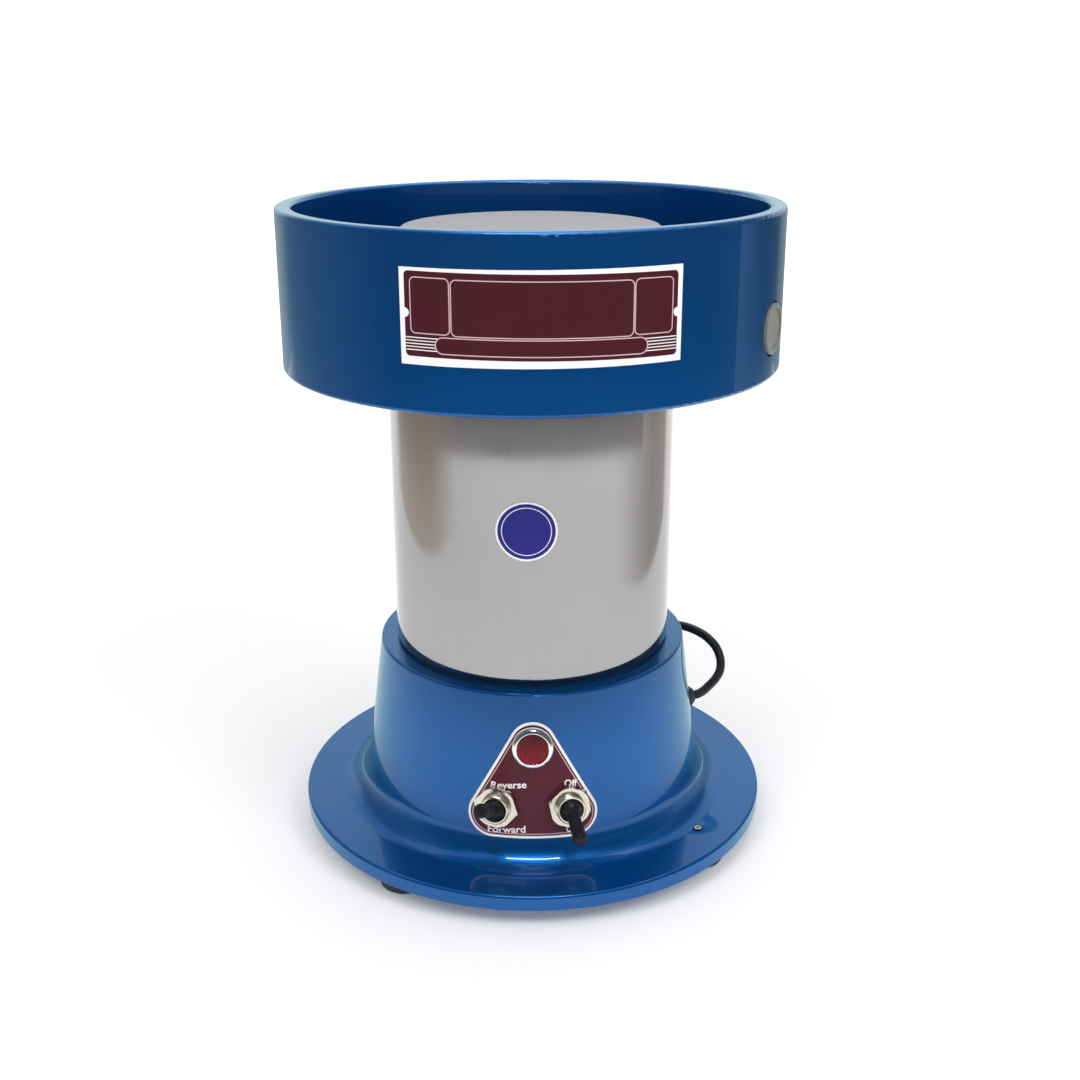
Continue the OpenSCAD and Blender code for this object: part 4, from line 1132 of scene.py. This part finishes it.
def printWord(word, x, z, lean, width, material, look):
    data = bpy.data.curves.new("word" + word, "FONT")
    data.body = word
    data.align_x = "CENTER"
    data.offset = look["bold"]
    data.resolution_u = look["curveSteps"]
    made = bpy.data.objects.new("word" + word, data)
    scene.collection.objects.link(made)
    bpy.context.view_layer.update()
    mesh = bpy.data.meshes.new_from_object(made)
    bpy.data.objects.remove(made)
    left = min(v.co.x for v in mesh.vertices)
    right = max(v.co.x for v in mesh.vertices)
    tall = max(v.co.y for v in mesh.vertices)
    tilt = math.tan(math.radians(lean))
    skin = look["plate"] / math.cos(math.atan(wall["flare"])) + look["lift"]
    for v in mesh.vertices:
        across = (v.co.x - (left + right) / 2) * width / (right - left)
        up = v.co.y * look["height"] / tall + across * tilt
        radius = wallRadius(z + up) + skin
        px = x + across
        v.co = Vector((px, -math.sqrt(radius * radius - px * px), z + up)) * mm
    mesh.materials.clear()
    mesh.materials.append(material)
    piece = bpy.data.objects.new("word" + word, mesh)
    scene.collection.objects.link(piece)
    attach(piece, "root")


inkWhite = whiteInk(lettering)
for word, x, z, lean, width in lettering["words"]:
    printWord(word, x, z, lean, width, inkWhite, lettering)
print("words done")


# Fine bevels catch the light on the front nuts

nutEdge = {"width": 0.15 * mm, "segments": 2, "angle": 30}


def softenEdges(name, look):
    bevel = nodes[name].modifiers.new("softEdges", "BEVEL")
    bevel.width = look["width"]
    bevel.segments = look["segments"]
    bevel.limit_method = "ANGLE"
    bevel.angle_limit = math.radians(look["angle"])
    bevel.harden_normals = True


for name in ("direction_switch_nut", "power_switch_nut"):
    softenEdges(name, nutEdge)


# Floor, soft studio light and a white surround

studio = {
    "floor": (0.88, 0.88, 0.88),
    "floorPale": (0.90, 0.90, 0.90),
    "floorPatch": 0.4,
    "floorHalf": 6.0,
    "whiteNear": 0.10,
    "whiteFar": 0.75,
    "farFrom": 0.25,
    "farTo": 2.0,
    "sheen": 0.12,
    "sheenFrom": 0.24,
    "sheenTo": 0.45,
    "lamps": [
        ("keyLamp", (-0.75, -0.85, 1.45), 0.7, 6.5),
        ("fillLamp", (0.95, -0.75, 1.30), 0.7, 8.0),
        ("topLamp", (0.1, 0.35, 1.9), 1.2, 8.0),
    ],
    "aim": (0.0, 0.0, 0.13),
    "ambient": 0.7,
    "screen": {
        "name": "roomScreen", "radius": 0.66, "reach": 96.0, "panels": 48, "top": 1.3,
        "lidInner": 0.20, "lidUp": 1.55,
        "stops": [(0.0, (0.47, 0.46, 0.455)), (0.03, (0.43, 0.425, 0.42)),
            (0.05, (0.09, 0.09, 0.09)), (0.09, (0.035, 0.035, 0.04)), (0.17, (0.13, 0.13, 0.14)),
            (0.26, (0.12, 0.12, 0.13)), (0.4, (0.04, 0.04, 0.045)), (1.2, (0.045, 0.045, 0.05)),
            (1.3, (0.40, 0.40, 0.41))],
    },
    "cards": [
        {"name": "leftCard", "start": (-0.40, -0.30), "end": (-0.40, 0.42), "top": 0.6,
            "front": (-0.29, -0.03), "back": (0.24, 0.42),
            "stops": [(0.0, (0.82, 0.75, 0.67)), (0.035, (0.75, 0.66, 0.58)),
                (0.085, (0.53, 0.46, 0.41)), (0.15, (0.30, 0.30, 0.31))]},
        {"name": "rightCard", "start": (0.34, -0.17), "end": (0.34, 0.34), "top": 0.6,
            "front": (-0.17, 0.12), "back": (0.25, 0.34),
            "stops": [(0.0, (0.64, 0.60, 0.57)), (0.09, (0.62, 0.585, 0.56)),
                (0.16, (0.12, 0.12, 0.13))]},
        {"name": "backLeftCard", "start": (-1.8, 0.75), "end": (0.0, 0.75), "top": 1.2,
            "stops": [(0.1, (0.60, 0.60, 0.61)), (0.26, (0.60, 0.60, 0.61)),
                (0.34, (1.15, 1.15, 1.15)), (0.46, (1.15, 1.15, 1.15)), (0.7, (0.60, 0.60, 0.62))]},
        {"name": "backRightCard", "start": (0.0, 0.75), "end": (1.8, 0.75), "top": 1.2,
            "stops": [(0.1, (0.42, 0.42, 0.43)), (0.26, (0.60, 0.60, 0.62)),
                (0.34, (1.15, 1.15, 1.15)), (0.46, (1.15, 1.15, 1.15)), (0.7, (0.72, 0.73, 0.75))]},
    ],
    "strip": {"name": "glintStrip", "centre": (0.0, -0.33, 1.05), "size": (0.42, 0.06),
        "strength": 48.0},
}


def eased(value, start, end):
    return value.node("ShaderNodeMapRange", {"interpolation_type": "SMOOTHSTEP"},
        {0: value, 1: start, 2: end})


def unlitRays(graph):
    # rays of the eye, of gloss and of glass see the white surround; gloss is given by itself too
    rays = graph.node("ShaderNodeLightPath").socket.node
    eye, gloss, glass = [Wire(graph.tree, rays.outputs[name])
        for name in ("Is Camera Ray", "Is Glossy Ray", "Is Transmission Ray")]
    return larger(larger(eye, gloss), glass), gloss


def studioFloor(look):
    material, graph, at = newMaterial("studioFloor")
    x, y = axes(at)[:2]
    reach = root(x * x + y * y)
    away = eased(reach, look["farFrom"], look["farTo"])
    white = look["whiteNear"] + (look["whiteFar"] - look["whiteNear"]) * away
    seen, gloss = unlitRays(graph)
    sheen = look["sheen"] * (1 - eased(reach, look["sheenFrom"], look["sheenTo"])) * gloss
    paleness = noise(at, look["floorPatch"], 2.0)
    plain = graph.node("ShaderNodeBsdfDiffuse", None,
        {"Color": mixed(paleness, look["floor"], look["floorPale"])})
    lift = graph.node("ShaderNodeEmission", None, {"Strength": white * seen + sheen})
    both = graph.node("ShaderNodeAddShader", None, {0: plain, 1: lift})
    graph.node("ShaderNodeOutputMaterial", None, {"Surface": both})
    size = look["floorHalf"]
    data = bpy.data.meshes.new("studioFloor")
    corners = [(-size, -size, 0), (size, -size, 0), (size, size, 0), (-size, size, 0)]
    data.from_pydata(corners, [], [(0, 1, 2, 3)])
    data.materials.append(material)
    floor = bpy.data.objects.new("studioFloor", data)
    scene.collection.objects.link(floor)


def hangLamps(look):
    for name, place, size, power in look["lamps"]:
        data = bpy.data.lights.new(name, "AREA")
        data.shape = "SQUARE"
        data.size = size
        data.energy = power
        lamp = bpy.data.objects.new(name, data)
        scene.collection.objects.link(lamp)
        lamp.location = place
        away = Vector(place) - Vector(look["aim"])
        lamp.rotation_euler = away.to_track_quat("Z", "Y").to_euler()


def stageGlossOnly(card):
    scene.collection.objects.link(card)
    card.visible_camera = False
    card.visible_diffuse = False
    card.visible_transmission = False
    card.visible_shadow = False


def hangCard(look, line):
    # an upright card that only gloss sees: stops give its colours by height in metres,
    # and towards its front and back ends it thins out
    material, graph, at = newMaterial(look["name"])
    x, y, z = axes(at)
    top = look["top"]
    stops = [(height / top, colour) for height, colour in look["stops"]]
    colour = graph.node("ShaderNodeValToRGB", {"stops": stops}, {"Fac": z / top})
    glow = graph.node("ShaderNodeEmission", None, {"Color": colour})
    if "front" in look:
        solid = eased(y, *look["front"]) * (1 - eased(y, *look["back"]))
        clear = graph.node("ShaderNodeBsdfTransparent")
        glow = graph.node("ShaderNodeMixShader", None, {0: solid, 1: clear, 2: glow})
    graph.node("ShaderNodeOutputMaterial", None, {"Surface": glow})
    data = bpy.data.meshes.new(look["name"])
    count = len(line)
    corners = [(x, y, 0) for x, y in line] + [(x, y, top) for x, y in line]
    faces = [(i, i + 1, count + i + 1, count + i) for i in range(count - 1)]
    if "lidInner" in look:
        shrink = look["lidInner"] / look["radius"]
        corners += [(x * shrink, y * shrink, look["lidUp"]) for x, y in line]
        faces += [(count + i, count + i + 1, 2 * count + i + 1, 2 * count + i)
            for i in range(count - 1)]
    data.from_pydata(corners, [], faces)
    data.materials.append(material)
    stageGlossOnly(bpy.data.objects.new(look["name"], data))


def hangStrip(look):
    # a small bright strip overhead that only gloss sees, for the glints along the painted edges
    material, graph = newMaterial(look["name"])[:2]
    glow = graph.node("ShaderNodeEmission", None, {"Strength": look["strength"]})
    graph.node("ShaderNodeOutputMaterial", None, {"Surface": glow})
    x, y, z = look["centre"]
    wide, deep = look["size"][0] / 2, look["size"][1] / 2
    data = bpy.data.meshes.new(look["name"])
    data.from_pydata([(x - wide, y - deep, z), (x + wide, y - deep, z),
        (x + wide, y + deep, z), (x - wide, y + deep, z)], [], [(0, 1, 2, 3)])
    data.materials.append(material)
    stageGlossOnly(bpy.data.objects.new(look["name"], data))


def hangCards(look):
    # the dim room round the white sheet: a round screen in front, cards beside and behind
    screen = look["screen"]
    half = screen["panels"] // 2
    turns = [math.radians(screen["reach"] * i / half) for i in range(-half, half + 1)]
    reach = screen["radius"]
    hangCard(screen, [(reach * math.sin(a), -reach * math.cos(a)) for a in turns])
    for card in look["cards"]:
        hangCard(card, [card["start"], card["end"]])
    hangStrip(look["strip"])


def lightSurround(look):
    # an even soft light, and white for the rays that see the background
    world = bpy.data.worlds.new("studioWorld")
    world.use_nodes = True
    world.node_tree.nodes.clear()
    graph = Wire(world.node_tree)
    ambient = look["ambient"]
    light = graph.node("ShaderNodeBackground", None,
        {"Color": (1.0, 1.0, 1.0, 1.0), "Strength": ambient + (1 - ambient) * unlitRays(graph)[0]})
    graph.node("ShaderNodeOutputWorld", None, {"Surface": light})
    scene.world = world


studioFloor(studio)
hangLamps(studio)
hangCards(studio)
lightSurround(studio)
scene.view_settings.view_transform = "Standard"
print("studio done")
